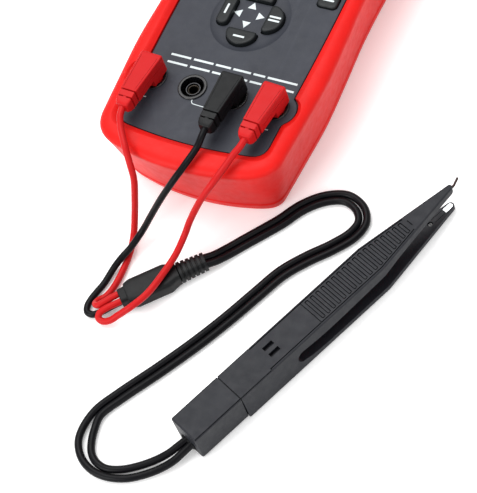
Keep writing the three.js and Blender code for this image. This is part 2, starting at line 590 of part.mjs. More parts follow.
function buildPlugs() {
  for (const plug of PLUGS) {
    const place = new THREE.Group();
    place.position.set(JACK_XS[plug.jack], JACK_Y, PANEL_Z);
    place.rotation.z = THREE.MathUtils.degToRad(plug.turn);
    const handle = solid(loft([
      plugRing(-PLUG_EXIT, 2.3, 6, 10.6, 0.9),
      plugRing(-21, 2.9, 5.4, 11.2, 1.1),
      plugRing(-19.2, 3.3, 5.1, 11.6, 1.1),
      plugRing(-19.2, 2.6, 5.7, 11, 0.8),
      plugRing(-18.5, 2.6, 5.7, 11, 0.8),
      plugRing(-18.5, 3.4, 5, 11.8, 0.6),
      plugRing(-16, 3.4, 4.9, 11.9, 0.6),
      plugRing(-16, 2.7, 5.6, 11.2, 0.6),
      plugRing(-15.3, 2.7, 5.6, 11.2, 0.6),
      plugRing(-15.3, 3.5, 4.8, 12, 0.5),
      plugRing(5.2, 4.35, 4.6, 10.8, 0.5),
    ]));
    const shroud = solid(loft([
      plugRing(-4.4, 4.05, PLUG_BASE, 7, 0.4), plugRing(5.2, 4.35, PLUG_BASE, 7, 0.4),
    ]));
    const sleeve = solid(turned([
      [3.45, -12], [4.55, -12], [4.55, PLUG_BASE + 1], [3.45, PLUG_BASE + 1], [3.45, -12],
    ]));
    const core = solid(rod(0, 0, PLUG_BASE - 1, 7, 2.2, 12));
    const body = joined([handle, shroud, sleeve]).subtract(core);
    addPart(place, `${plug.name}_body`, geometryOf(body), plug.material);
    const pin = turned([[0, -14], [0.8, -14], [1.9, -12.6], [1.9, 6.6], [0, 6.6]], 12);
    addPart(place, `${plug.name}_pin`, pin, STEEL);
    model.add(place);
  }
}

// ---- Leads, cords and the junction between them -------------------------------------------------
// A route moved sideways, level with the table.
function sideways(route, distance) {
  return route.map((point, index) => {
    const before = route[Math.max(index - 1, 0)];
    const after = route[Math.min(index + 1, route.length - 1)];
    const length = Math.hypot(after[0] - before[0], after[1] - before[1]);
    const right = [(after[1] - before[1]) / length, (before[0] - after[0]) / length];
    return [point[0] + right[0] * distance, point[1] + right[1] * distance, point[2]];
  });
}

function buildCords() {
  for (const [name, route] of Object.entries(LEAD_ROUTES)) {
    const material = name === 'lead_black' ? BLACK_VINYL : RED_VINYL;
    addPart(model, name, cord(route, LEAD_D, 54), material);
  }
  const sides = { cord_outer: CORD_SPREAD, cord_inner: -CORD_SPREAD };
  for (const [name, end] of Object.entries(CORD_ENDS)) {
    addPart(model, name, cord([...sideways(CORD_ROUTE, sides[name]), ...end], CORD_D, 58), BLACK_VINYL);
  }
}

// An oval ring across the junction at y, its middle at the cords' height.
function ovalRing(y, halfWidth, halfHeight) {
  const sides = 14;
  return Array.from({ length: sides }, (_, step) => {
    const angle = (2 * Math.PI * step) / sides;
    const flat = (value) => Math.sign(value) * Math.abs(value) ** 0.75;
    const x = halfWidth * flat(Math.cos(angle));
    const z = JUNCTION.middleZ - halfHeight * flat(Math.sin(angle));
    return new THREE.Vector3(x, y, z);
  });
}

function buildJunction() {
  const place = new THREE.Group();
  place.position.set(JUNCTION.x, JUNCTION.y, 0);
  place.rotation.z = THREE.MathUtils.degToRad(JUNCTION.turn);
  const body = loft([
    ovalRing(0, 3.7, 3.4), ovalRing(3.1, 3.8, 3.5), ovalRing(3.2, 5.2, 3.8), ovalRing(6, 6, 4),
    ovalRing(21, 6, 4), ovalRing(24.8, 4.3, 3.6), ovalRing(26, 4.3, 3.6),
  ]);
  addPart(place, 'junction_body', body, BLACK_VINYL);
  const rings = [];
  const ribs = 6;
  const start = 26.3;
  const pitch = (JUNCTION.length - start) / ribs;
  for (let rib = 0; rib < ribs; rib += 1) {
    const y = start + rib * pitch;
    const half = 4.4 - 0.1 * rib;
    rings.push(ovalRing(y, half, 3.5), ovalRing(y + pitch * 0.55, half, 3.5));
    if (rib + 1 < ribs) {
      rings.push(ovalRing(y + pitch * 0.62, half - 1, 2.6), ovalRing(y + pitch * 0.93, half - 1, 2.6));
    }
  }
  addPart(place, 'junction_strain_relief', loft(rings), BLACK_VINYL);
  model.add(place);
}

// ---- Tweezers -----------------------------------------------------------------------------------
// They lie along their own +Y, with the rear face at y 0 and the arms one above the other.
const tweezers = new THREE.Group();
tweezers.position.set(TWEEZERS.x, TWEEZERS.y, 0);
tweezers.rotation.z = THREE.MathUtils.degToRad(TWEEZERS.turn);
model.add(tweezers);

// Half the width of the top face at y.
function armHalfWidth(y) {
  const taper = Math.max(0, (y - ARM_TAPER) / (ARM_TIP - ARM_TAPER));
  return TWEEZERS.halfWidth - (TWEEZERS.halfWidth - 1.1) * taper;
}

// The full body of the tweezers between two stations, before it is cut into its pieces.
function tweezerBlock(y0, y1) {
  const stations = [y0, ...[ARM_TAPER].filter((y) => y > y0 && y < y1), y1];
  const top = TWEEZERS.height;
  return solid(loft(stations.map((y) => {
    const half = armHalfWidth(y);
    const low = half + BODY_DRAFT * (half / TWEEZERS.halfWidth);
    const rightSide = [[low, 0], [half + 0.1, top - 0.6], [half - 0.5, top]];
    const leftSide = rightSide.map(([x, z]) => [-x, z]).reverse();
    return [...rightSide, ...leftSide].map(([x, z]) => new THREE.Vector3(x, y, z)).reverse();
  })));
}

// A side view, as [y, z] pairs, drawn right across the tweezers.
function sideCut(profile) {
  const shape = new THREE.Shape(profile.map(([y, z]) => new THREE.Vector2(y, z)));
  const across = new THREE.ExtrudeGeometry(shape, { depth: 24, bevelEnabled: false }).translate(0, 0, -12);
  const turn = new THREE.Matrix4().makeBasis(
    new THREE.Vector3(0, 1, 0), new THREE.Vector3(0, 0, 1), new THREE.Vector3(1, 0, 0),
  );
  return solid(across.applyMatrix4(turn));
}

const SLOT_ROUND = Array.from({ length: 7 }, (_, step) => {
  const angle = Math.PI / 2 + (Math.PI * step) / 6;
  return [ARM_ROOT + SLOT_R * Math.cos(angle), SLOT_MIDDLE_Z + SLOT_R * Math.sin(angle)];
});

const UPPER_INSIDE = [[ARM_ROOT, 9.9], [70, 8.9], [98, 9.9], [112, 11], [150, 11.3]];
const LOWER_INSIDE = [[ARM_ROOT, 4.1], [66, 2.6], [104, 2.5], [150, 2.5]];

function buildTweezerBody() {
  const high = TWEEZERS.height;
  const half = TWEEZERS.halfWidth;
  const cap = solid(loft([
    [0, 0.7], [0.7, 0], [CAP_LENGTH, 0],
  ].map(([y, shrink]) => plugRing(y, half - shrink, shrink, high - shrink, 0.5).reverse())));
  const pocket = solid(box([-5.8, 2, 1.8], [5.8, CAP_LENGTH + 1, high - 1.8]));
  const mouth = solid(box([-4.3, -1, 2.2], [4.3, 3, 6.6]));
  addPart(tweezers, 'tweezer_rear_cap', geometryOf(cap.subtract(joined([pocket, mouth]))), CHARCOAL);

  const gland = solid(plate(roundedRectangle(7.8, 3.8, 1.4, 0, 4.4), -3.9, 3));
  const flange = solid(plate(roundedRectangle(10, 5.6, 1.4, 0, 4.8), 2.4, 4.4));
  const upright = new THREE.Matrix4().makeBasis(
    new THREE.Vector3(-1, 0, 0), new THREE.Vector3(0, 0, 1), new THREE.Vector3(0, 1, 0),
  );
  const relief = geometryOf(gland.add(flange)).applyMatrix4(upright);
  addPart(tweezers, 'tweezer_cord_grommet', relief, BLACK_VINYL);

  const block = tweezerBlock(CAP_LENGTH + GAP, BODY_END);
  const tenon = solid(box([-5.4, 14, 2.2], [5.4, CAP_LENGTH + 2, high - 2.2]));
  const channel = solid(box([-CHANNEL.half, 13, CHANNEL.low], [CHANNEL.half, ARM_ROOT, CHANNEL.high]));
  const windows = [-2, 1.8].map((x) => solid(box([x - 0.95, 44.6, high - 2], [x + 0.95, 49.6, high + 1])));
  const body = block.add(tenon).subtract(joined([channel, ...windows]));
  addPart(tweezers, 'tweezer_body', geometryOf(body), CHARCOAL);
}

function buildUpperArm() {
  const rear = BODY_END + GAP;
  const high = TWEEZERS.height;
  const above = sideCut([
    [rear, SLOT_MIDDLE_Z + GAP / 2], ...slotCorner(1), ...UPPER_INSIDE, [150, 20], [rear, 20],
  ]);
  const grooves = Array.from({ length: RIB_COUNT }, (_, index) => {
    const y = RIB_FIRST + index * RIB_PITCH;
    const half = armHalfWidth(y) - RIB_MARGIN;
    return solid(box([-half, y, high - RIB_DEPTH], [half, y + RIB_WIDTH, high + 1]));
  });
  const bore = solid(cord([[0, 137.6, PIN_Z], [0, 142, PIN_Z], [0, 149, PIN_Z]], 1.7, 2));
  const arm = tweezerBlock(rear, ARM_TIP).intersect(above).subtract(joined([...grooves, bore]));
  addPart(tweezers, 'tweezer_upper_arm', geometryOf(arm), CHARCOAL);
  const pinRoute = [
    [0, 138, PIN_Z], [0, 146.4, PIN_Z], [-0.4, 148.6, PIN_Z + 0.5], [-0.9, 150.6, PIN_Z + 1.2],
  ];
  addPart(tweezers, 'tweezer_tip_pin', cord(pinRoute, 1, 8), STEEL);
}

// The quarter of the slot's round end that one arm carries: 1 for the upper arm, -1 for the lower one.
function slotCorner(side) {
  const points = SLOT_ROUND.filter(([, z]) => (z - SLOT_MIDDLE_Z) * side > GAP / 2);
  const ordered = points.sort((a, b) => a[0] - b[0]);
  const first = [ARM_ROOT - SLOT_R + 0.01, SLOT_MIDDLE_Z + (side * GAP) / 2];
  return [first, ...ordered.filter(([y]) => y < ARM_ROOT - 0.01)];
}

function buildLowerArm() {
  const rear = BODY_END + GAP;
  const below = sideCut([[rear, -1], [150, -1], ...[...LOWER_INSIDE].reverse(), ...slotCorner(-1).reverse(),
    [rear, SLOT_MIDDLE_Z - GAP / 2]]);
  const screwHole = solid(rod(0, CONTACT_SCREW_Y, 1.2, 4, 1.2, 10));
  const seat = solid(box([-2, 127, 2.2], [2, LOWER_ARM_END + 1, 4]));
  const arm = tweezerBlock(rear, LOWER_ARM_END).intersect(below).subtract(joined([screwHole, seat]));
  addPart(tweezers, 'tweezer_lower_arm', geometryOf(arm), CHARCOAL);
  const bladeHole = solid(rod(0, CONTACT_SCREW_Y, 1, 4, 1.1, 10));
  const blade = solid(plate(bladeOutline(), 2.5, 3)).subtract(bladeHole);
  addPart(tweezers, 'tweezer_tip_blade', geometryOf(blade), STEEL);
  addPart(tweezers, 'tweezer_blade_screw', rod(0, CONTACT_SCREW_Y, 1.5, 3.1, 0.8, 10), STEEL);
}

// The contact leaf on the lower arm: a strip that narrows a little towards its cut-cornered end.
function bladeOutline() {
  const corners = [[-1.5, 128], [1.5, 128], [1.35, 144.8], [0.9, 145.6], [-0.9, 145.6], [-1.35, 144.8]];
  return new THREE.Shape(corners.map(([x, y]) => new THREE.Vector2(x, y)));
}

// ---- The whole object ---------------------------------------------------------------------------
buildHolster();
buildFrontCase();
buildRearCase();
buildBatteryBay();
buildBoard();
buildDisplay();
buildButtons();
buildCaseScrews();
buildStand();
buildJacks();
buildPlugs();
buildCords();
buildJunction();
buildTweezerBody();
buildUpperArm();
buildLowerArm();

export default model;
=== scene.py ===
"""A handheld LCR meter in a red rubber holster, with its plugs, leads, junction, cords and test tweezers.

Shapes are drawn in millimetres, in the part's own frame, and become metres as each mesh is made.
"""
import json
from math import acos, cos, hypot, pi, radians, sin

import bmesh
import bpy
from mathutils import Matrix, Vector


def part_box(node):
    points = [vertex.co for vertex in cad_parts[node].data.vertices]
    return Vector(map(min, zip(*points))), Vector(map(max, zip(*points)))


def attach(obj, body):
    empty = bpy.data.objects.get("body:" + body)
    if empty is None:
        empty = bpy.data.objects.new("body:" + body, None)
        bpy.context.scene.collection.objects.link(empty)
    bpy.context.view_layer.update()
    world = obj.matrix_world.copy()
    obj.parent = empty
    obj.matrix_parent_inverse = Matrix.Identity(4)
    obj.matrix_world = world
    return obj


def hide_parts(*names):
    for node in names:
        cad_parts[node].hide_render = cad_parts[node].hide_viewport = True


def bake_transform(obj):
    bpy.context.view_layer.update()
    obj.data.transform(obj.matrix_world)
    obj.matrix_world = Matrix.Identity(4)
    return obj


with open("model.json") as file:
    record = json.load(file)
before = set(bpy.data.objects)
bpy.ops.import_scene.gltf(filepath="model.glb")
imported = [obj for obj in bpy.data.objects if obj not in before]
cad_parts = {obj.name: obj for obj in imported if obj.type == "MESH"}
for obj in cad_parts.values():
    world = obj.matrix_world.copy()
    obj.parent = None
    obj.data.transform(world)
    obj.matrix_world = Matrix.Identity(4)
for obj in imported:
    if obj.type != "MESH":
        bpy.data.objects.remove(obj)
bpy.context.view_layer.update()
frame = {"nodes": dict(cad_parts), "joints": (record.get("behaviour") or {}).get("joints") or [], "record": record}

# ---- Sizes and places, in millimetres ----
MM = 0.001
GAP = 0.3


def box_mm(node):
    low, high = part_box(node)
    return low / MM, high / MM


def middle_of(node):
    low, high = box_mm(node)
    return (low + high) / 2


def joint(name):
    return next(row for row in frame["joints"] if row["name"] == name)


RIM_Z = box_mm("holster")[1].z
METER_END = box_mm("holster")[1].y + 0.1
PANEL_Z = box_mm("front_case")[1].z
SHOULDER_Z = PANEL_Z - 2  # the part of the front case that the holster's rim covers
CREASE_Z = RIM_Z - 3  # height of the holster's widest line
LIP_Z = 34.3  # the rim falls to this height at its inner edge
LIP_REACH = 3.4  # how far outwards that slope runs
OPENING_CLEAR = 0.55  # round the panel, in the holster's opening
WALL_LEAN = 6.2  # how far the walls lean in from the crease to the base
HOLSTER_WALL = 3.4
HOLSTER_FLOOR = 4.6
CASE_INSET = HOLSTER_WALL + GAP
CASE_WALL = 2.2
CASE_TOP_WALL = 1.4
SPLIT_Z = box_mm("front_case")[0].z

JACKS = [middle_of(f"jack_housing_{index}") for index in (1, 2, 3, 4)]
JACK_R = 4.9
JACK_HOLE_R = 5.9
PANEL_HALF = 34.5  # half of the panel's width beside the sockets
NOTCH_X = 30.4  # the panel bulges round the two outer sockets, in arcs about this x
NOTCH_R = 7.7

DISH = Vector((-0.8, -17.5))
DISH_R = 17.9
DISH_DEPTH = 1.2
BUTTON_CLEAR = 0.35
BUTTON_TOP = box_mm("button_dish_right")[1].z
BUTTON_LOW = box_mm("button_dish_right")[0].z
FLANGE_THICK = 0.5
FLANGE_REACH = 0.5  # how far a key's flange stands out round the key
KEY_MARK = (5.2, 0.9)

LCD = Vector((0, 52))
LCD_SIZE = (60, 44)

STAND_HINGE = Vector(joint("tilt_stand_hinge")["pos_m"]) / MM
STAND_HALF = 28
STAND_END = -46
STAND_BAR = 9
STAND_THICK = 2.6
STAND_CLEAR = 0.5
STAND_BORE_R = 0.9
TUNNEL_REACH = 2.8  # how far the hinge pin's tunnel runs past the stand on each side

LEAD_D = 2.9
CORD_D = 3.2
CORD_TUCK = 3  # each end of a cord runs this far into the piece that holds it
GLAND_TUCK = 5.5  # and this far at the tweezers, whose gland hardly stands out
CORD_SPREAD = 1.75  # each of the two cords runs this far to one side of their middle line

ARM_ROOT = 55.5  # along the tweezers, where the slot between the arms starts
ARM_TAPER = 101
ARM_TIP = 146.3
ARM_HALF = 7.3
TWEEZERS_TOP = 14.8
CAP_LENGTH = 24.2
SLOT_Z = 7
SLOT_R = 2.9
BODY_DRAFT = 1
SCREW = (0, 132)  # the screw of the lower arm's contact leaf


def new_object(name, data):
    made = bpy.data.objects.new(name, data)
    bpy.context.scene.collection.objects.link(made)
    return made


# ---- Camera ----
def build_camera():
    """A long lens, looking down on the sockets and the leads from the front right."""
    azimuth, elevation, roll = radians(43.898), radians(56.16), radians(-22.542)
    distance = 799.47
    target = Vector((26.118, -105.63, 0))
    back = Vector((sin(azimuth) * cos(elevation), -cos(azimuth) * cos(elevation), sin(elevation)))
    level = Vector((cos(azimuth), sin(azimuth), 0))
    upright = back.cross(level)
    right = cos(roll) * level + sin(roll) * upright
    up = cos(roll) * upright - sin(roll) * level
    data = bpy.data.cameras.new("camera")
    data.lens = 141.53
    data.sensor_width = 36
    data.clip_end = 10
    camera = new_object("camera", data)
    turn = Matrix((right, up, back)).transposed().to_4x4()
    camera.matrix_world = Matrix.Translation((target + distance * back) * MM) @ turn
    bpy.context.scene.camera = camera


build_camera()

# ---- Routes of the leads and cords, in metres, as in the part ----
LEAD_ROUTES = {
    "lead_red_left": [
        (-0.0294, -0.0803, 0.0423), (-0.0289, -0.0836, 0.0416), (-0.0269, -0.0879, 0.0398),
        (-0.0216, -0.0953, 0.0378), (-0.0186, -0.0996, 0.0336), (-0.0170, -0.1026, 0.0278),
        (-0.0172, -0.1066, 0.0188), (-0.0182, -0.1099, 0.0100), (-0.0181, -0.1143, 0.0041),
        (-0.0166, -0.1218, 0.0018), (-0.0154, -0.1330, 0.0016), (-0.0157, -0.1412, 0.0016),
        (-0.0169, -0.1455, 0.0017), (-0.0185, -0.1479, 0.0023), (-0.0185, -0.1505, 0.0035),
        (-0.0165, -0.1513, 0.0048), (-0.0143, -0.1491, 0.0052), (-0.0125, -0.1466, 0.0052),
        (-0.01075, -0.14455, 0.0052),
    ],
    "lead_black": [
        (0.0090, -0.0802, 0.0423), (0.0089, -0.0834, 0.0416), (0.0084, -0.0872, 0.0399),
        (0.0064, -0.0953, 0.0382), (0.0029, -0.1021, 0.0342), (-0.0026, -0.1068, 0.0258),
        (-0.0082, -0.1107, 0.0160), (-0.0124, -0.1151, 0.0086), (-0.0154, -0.1226, 0.0052),
        (-0.0171, -0.1272, 0.0046), (-0.0190, -0.1313, 0.0028), (-0.0204, -0.1399, 0.0016),
        (-0.0215, -0.1445, 0.0016), (-0.0223, -0.1484, 0.0016), (-0.0223, -0.1518, 0.0016),
        (-0.0210, -0.1543, 0.0016), (-0.0183, -0.1546, 0.0016), (-0.0155, -0.1525, 0.0016),
        (-0.0125, -0.1491, 0.0018), (-0.00935, -0.1459, 0.0021),
    ],
    "lead_red_right": [
        (0.0270, -0.0802, 0.0423), (0.0263, -0.0834, 0.0417), (0.0248, -0.0866, 0.0406),
        (0.0232, -0.0921, 0.0392), (0.0212, -0.0985, 0.0376), (0.0166, -0.1043, 0.0314),
        (0.0109, -0.1103, 0.0202), (0.0089, -0.1142, 0.0146), (0.0075, -0.1224, 0.0109),
        (0.0058, -0.1324, 0.0100), (0.0036, -0.1423, 0.0099), (-0.0007, -0.1489, 0.0084),
        (-0.0035, -0.1511, 0.0066), (-0.0063, -0.1532, 0.0048), (-0.0090, -0.1554, 0.0033),
        (-0.0121, -0.1566, 0.0027), (-0.0143, -0.1560, 0.0031), (-0.0144, -0.1541, 0.0042),
        (-0.0123, -0.1515, 0.0051), (-0.0099, -0.1490, 0.0052), (-0.0081, -0.1471, 0.0052),
    ],
}
CORD_ROUTE = [
    (0.01835, -0.11755, 0.0040), (0.0204, -0.1154, 0.0034), (0.0243, -0.1094, 0.0019),
    (0.0283, -0.1040, 0.0017), (0.0330, -0.0980, 0.0017), (0.0389, -0.0904, 0.0017),
    (0.0450, -0.0810, 0.0017), (0.0528, -0.0742, 0.0017), (0.0611, -0.0716, 0.0017),
    (0.0684, -0.0746, 0.0017), (0.0718, -0.0804, 0.0017), (0.0704, -0.0870, 0.0017),
    (0.0648, -0.0948, 0.0017), (0.0568, -0.1033, 0.0017), (0.0496, -0.1126, 0.0017),
    (0.0442, -0.1237, 0.0017), (0.0372, -0.1385, 0.0017), (0.0296, -0.1529, 0.0017),
    (0.0200, -0.1689, 0.0017), (0.0099, -0.1845, 0.0017), (0.0046, -0.1940, 0.0017),
]
CORD_ENDS = {
    "cord_outer": [
        (0.0016, -0.2015, 0.0017), (0.0026, -0.2080, 0.0017), (0.0066, -0.2136, 0.0017),
        (0.0128, -0.2172, 0.0017), (0.0202, -0.2181, 0.0017), (0.0285, -0.2160, 0.0017),
        (0.0355, -0.2116, 0.0018), (0.0408, -0.2072, 0.0026), (0.0444, -0.2033, 0.0038),
        (0.0465, -0.1992, 0.0044),
    ],
    "cord_inner": [
        (0.0064, -0.2005, 0.0017), (0.0078, -0.2062, 0.0017), (0.0102, -0.2109, 0.0017),
        (0.0140, -0.2139, 0.0017), (0.0189, -0.2149, 0.0017), (0.0248, -0.2133, 0.0017),
        (0.0310, -0.2096, 0.0018), (0.0368, -0.2052, 0.0026), (0.0410, -0.2012, 0.0038),
        (0.0433, -0.1978, 0.0044),
    ],
}


def sideways(route, distance):
    """A route moved sideways, level with the table."""
    moved = []
    for index, point in enumerate(route):
        before = route[max(index - 1, 0)]
        after = route[min(index + 1, len(route) - 1)]
        run = (after[0] - before[0], after[1] - before[1])
        length = hypot(*run)
        x = point[0] + run[1] / length * distance
        y = point[1] - run[0] / length * distance
        moved.append((x, y, point[2]))
    return moved


def smooth_route(route, steps=8):
    """A centripetal Catmull-Rom curve through the points of a route."""
    points = [Vector(point) for point in route]
    points = [2 * points[0] - points[1], *points, 2 * points[-1] - points[-2]]
    curve = [points[1]]
    for corners in zip(points, points[1:], points[2:], points[3:]):
        knots = [0.0]
        for start, end in zip(corners, corners[1:]):
            knots.append(knots[-1] + (end - start).length ** 0.5)
        for step in range(1, steps + 1):
            at = knots[1] + (knots[2] - knots[1]) * step / steps
            level = corners
            for spans in (((0, 1), (1, 2), (2, 3)), ((0, 2), (1, 3)), ((1, 2),)):
                level = [
                    a.lerp(b, (at - knots[low]) / (knots[high] - knots[low]))
                    for a, b, (low, high) in zip(level, level[1:], spans)
                ]
            curve.append(level[0])
    return curve


def cord_curve(name, route, diameter, far_tuck=CORD_TUCK):
    data = bpy.data.curves.new(name, "CURVE")
    data.dimensions = "3D"
    data.bevel_depth = diameter * MM / 2
    data.bevel_resolution = 5
    data.use_fill_caps = True
    points = smooth_route(route)
    points.insert(0, points[0] + (points[0] - points[1]).normalized() * CORD_TUCK * MM)
    points.append(points[-1] + (points[-1] - points[-2]).normalized() * far_tuck * MM)
    spline = data.splines.new("POLY")
    spline.points.add(len(points) - 1)
    for knot, point in zip(spline.points, points):
        knot.co = (*point, 1)
    spline.use_smooth = True
    return new_object(name, data)


CORDS = {name: cord_curve(f"{name}_vinyl", route, LEAD_D) for name, route in LEAD_ROUTES.items()}
for cord_name, cord_side in {"cord_outer": CORD_SPREAD, "cord_inner": -CORD_SPREAD}.items():
    whole_route = sideways(CORD_ROUTE, cord_side * MM) + CORD_ENDS[cord_name]
    CORDS[cord_name] = cord_curve(f"{cord_name}_vinyl", whole_route, CORD_D, GLAND_TUCK)


# ---- Mesh building blocks ----
def mesh_piece(name, corners, faces, place=None):
    """A mesh from corners in millimetres, welded, facing out, and put in its place."""
    mesh = bpy.data.meshes.new(name)
    mesh.from_pydata([Vector(corner) * MM for corner in corners], [], faces)
    shape = bmesh.new()
    shape.from_mesh(mesh)
    bmesh.ops.remove_doubles(shape, verts=shape.verts, dist=1e-7)
    bmesh.ops.dissolve_degenerate(shape, edges=shape.edges, dist=1e-8)
    bmesh.ops.recalc_face_normals(shape, faces=shape.faces)
    shape.to_mesh(mesh)
    shape.free()
    if place is not None:
        mesh.transform(place)
    return new_object(name, mesh)


def loft(name, rings, place=None, closed=False):
    """A skin through rings of equally many points. It has a flat cap at each end, or closes on itself."""
    count = len(rings[0])
    corners = [point for ring in rings for point in ring]
    faces = []
    for level in range(len(rings) if closed else len(rings) - 1):
        low = level * count
        high = (level + 1) % len(rings) * count
        for step in range(count):
            beside = (step + 1) % count
            faces.append((low + step, low + beside, high + beside, high + step))
    if not closed:
        last = (len(rings) - 1) * count
        faces.append(tuple(range(count)))
        faces.append(tuple(range(last, last + count)))
    return mesh_piece(name, corners, faces, place)


def lathe(name, profile, centre=(0, 0), sides=64, closed=False, place=None):
    """A turned piece on a vertical axis: profile holds (radius, z) pairs, from axis to axis or closed."""
    turns = [2 * pi * side / sides for side in range(sides)]
    rings = [
        [(centre[0] + radius * cos(turn), centre[1] + radius * sin(turn), z) for turn in turns]
        for radius, z in profile
    ]
    return loft(name, rings, place, closed)


def at_height(outline, z):
    return [(point[0], point[1], z) for point in outline]


def prism(name, outline, low, high, place=None):
    return loft(name, [at_height(outline, low), at_height(outline, high)], place)


def frame_prism(name, outer, inner, low, high, place=None):
    """An upright frame between an outer and an inner outline."""
    rings = [at_height(outer, low), at_height(outer, high), at_height(inner, high), at_height(inner, low)]
    return loft(name, rings, place, closed=True)


def block(name, low, high, place=None):
    outline = [(low[0], low[1]), (high[0], low[1]), (high[0], high[1]), (low[0], high[1])]
    return prism(name, outline, low[2], high[2], place)


def rod_x(name, x0, x1, centre, radius, sides=48):
    """A round bar along X."""
    turns = [2 * pi * side / sides for side in range(sides)]
    rings = [
        [(x, centre.y + radius * cos(turn), centre.z + radius * sin(turn)) for turn in turns]
        for x in (x0, x1)
    ]
    return loft(name, rings)


def combine(piece, tools, operation="DIFFERENCE"):
    """Cuts the tools out of a piece, or joins them to it. The tools are used up."""
    for tool in tools:
        modifier = piece.modifiers.new(operation.lower(), "BOOLEAN")
        modifier.operation = operation
        modifier.solver = "EXACT"
        modifier.object = tool
    graph = bpy.context.evaluated_depsgraph_get()
    mesh = bpy.data.meshes.new_from_object(piece.evaluated_get(graph))
    piece.modifiers.clear()
    piece.data = mesh
    for tool in tools:
        bpy.data.objects.remove(tool)


def soften(piece, width=0.0, angle=35, segments=3):
    """Smooth shading that keeps flat faces flat, with sharp edges rounded by a small bevel."""
    piece.data.shade_smooth()
    piece.data.set_sharp_from_angle(angle=radians(angle))
    if width:
        bevel = piece.modifiers.new("soft_edges", "BEVEL")
        bevel.width = width * MM
        bevel.segments = segments
        bevel.limit_method = "ANGLE"
        bevel.angle_limit = radians(angle)
        bevel.harden_normals = True
    even = piece.modifiers.new("even_shading", "WEIGHTED_NORMAL")
    even.keep_sharp = True


# ---- Outlines ----
def bezier(*controls, steps=20):
    """The points of a Bezier curve after its first one."""
    points = []
    for step in range(1, steps + 1):
        level = [Vector(control) for control in controls]
        while len(level) > 1:
            level = [a.lerp(b, step / steps) for a, b in zip(level, level[1:])]
        points.append(level[0])
    return points


def through(controls, steps=10):
    """The points of a smooth curve through the controls, after the first one."""
    ends = [controls[0], *controls, controls[-1]]
    points = []
    for a, b, c, d in zip(ends, ends[1:], ends[2:], ends[3:]):
        for step in range(1, steps + 1):
            t = step / steps
            points.append(Vector([
                0.5 * (2 * q + (r - p) * t + (2 * p - 5 * q + 4 * r - s) * t**2
                       + (3 * q - p - 3 * r + s) * t**3)
                for p, q, r, s in zip(a, b, c, d)
            ]))
    return points


def arc(centre, radius, start, end, steps=20):
    turns = [start + (end - start) * step / steps for step in range(steps + 1)]
    return [Vector((centre[0] + radius * cos(turn), centre[1] + radius * sin(turn))) for turn in turns]


def circle(centre, radius, sides):
    return arc(centre, radius, 0, 2 * pi, sides)[:-1]


def spaced(points, count):
    """The same line with evenly spaced points."""
    reached = [0.0]
    for start, end in zip(points, points[1:]):
        reached.append(reached[-1] + (end - start).length)
    found = []
    piece = 0
    for step in range(count + 1):
        goal = reached[-1] * step / count
        while piece < len(points) - 2 and reached[piece + 1] < goal:
            piece += 1
        span = reached[piece + 1] - reached[piece]
        found.append(points[piece].lerp(points[piece + 1], (goal - reached[piece]) / span))
    return found


def whole_outline(right_half, count):
    """A closed outline from its right half, which runs from the bottom end to the top end."""
    right = spaced(right_half, count)
    left = [Vector((-point.x, point.y)) for point in reversed(right[1:-1])]
    return right + left


def inset(outline, distance):
    """An outline moved inwards along its own normals."""
    moved = []
    for index, point in enumerate(outline):
        along = (outline[(index + 1) % len(outline)] - outline[index - 1]).normalized()
        moved.append(Vector((point.x - along.y * distance, point.y + along.x * distance)))
    return moved


def shrunk(outline, distance):
    """An outline made smaller about its middle, until its box has moved in by the distance."""
    low = Vector((min(point.x for point in outline), min(point.y for point in outline)))
    high = Vector((max(point.x for point in outline), max(point.y for point in outline)))
    middle, half = (low + high) / 2, (high - low) / 2
    scale = Vector((1 - distance / half.x, 1 - distance / half.y))
    return [middle + (point - middle) * scale for point in outline]


def rounded_off(points, times=2, closed=True):
    """Corners cut again and again, so that they come out round."""
    for _ in range(times):
        pairs = list(zip(points, points[1:] + points[:1] if closed else points[1:]))
        cut = [corner for a, b in pairs for corner in (a.lerp(b, 0.25), a.lerp(b, 0.75))]
        points = cut if closed else [points[0], *cut[1:-1], points[-1]]
    return points


def rounded_rectangle(width, height, radius, centre=(0, 0), steps=6):
    x, y = width / 2 - radius, height / 2 - radius
    corners = [(x, y), (-x, y), (-x, -y), (x, -y)]
    outline = []
    for quarter, (dx, dy) in enumerate(corners):
        start = quarter * pi / 2
        outline += arc((centre[0] + dx, centre[1] + dy), radius, start, start + pi / 2, steps)
    return outline


def crease_outline():
    """The holster's plan at its crease: bowed ends, a waist over the buttons and wider ends."""
    end = METER_END
    half = [Vector((0, -end))]
    half += bezier((0, -end), (15, -end), (29, 3.8 - end))
    half += bezier((29, 3.8 - end), (37.5, 6 - end), (41.4, 10 - end), (42.4, -80))
    half += through([
        (42.4, -80), (43.5, -62), (44.6, -40), (43.9, -18), (42.8, 6), (43.2, 30), (44.4, 56), (44.2, 76),
    ])
    half += bezier((44.2, 76), (43.6, 86), (39.5, end - 4.5), (30, end - 2.4))
    half += bezier((30, end - 2.4), (15, end), (0, end))
    return whole_outline(half, 100)


def panel_outline():
    """The panel's plan: its long sides bulge round the two outer sockets."""
    bulge = acos((PANEL_HALF - NOTCH_X) / NOTCH_R)
    half = [Vector((0, -83.8))]
    half += bezier((0, -83.8), (14, -83.8), (28.5, -81.8))
    half += bezier((28.5, -81.8), (33.8, -81), (34.3, -76))
    half.append(Vector((PANEL_HALF, -66)))
    half += arc((NOTCH_X, JACKS[3].y), NOTCH_R, -bulge, bulge)
    half += through([half[-1][:], (35.1, -26), (35.2, 0), (35, 40), (34.8, 78)])
    half += bezier((34.8, 78), (34.4, 86.4), (27, 87.6))
    half += bezier((27, 87.6), (14, 89.4), (0, 89.4))
    return whole_outline(half, 130)


CREASE = crease_outline()
PANEL = panel_outline()


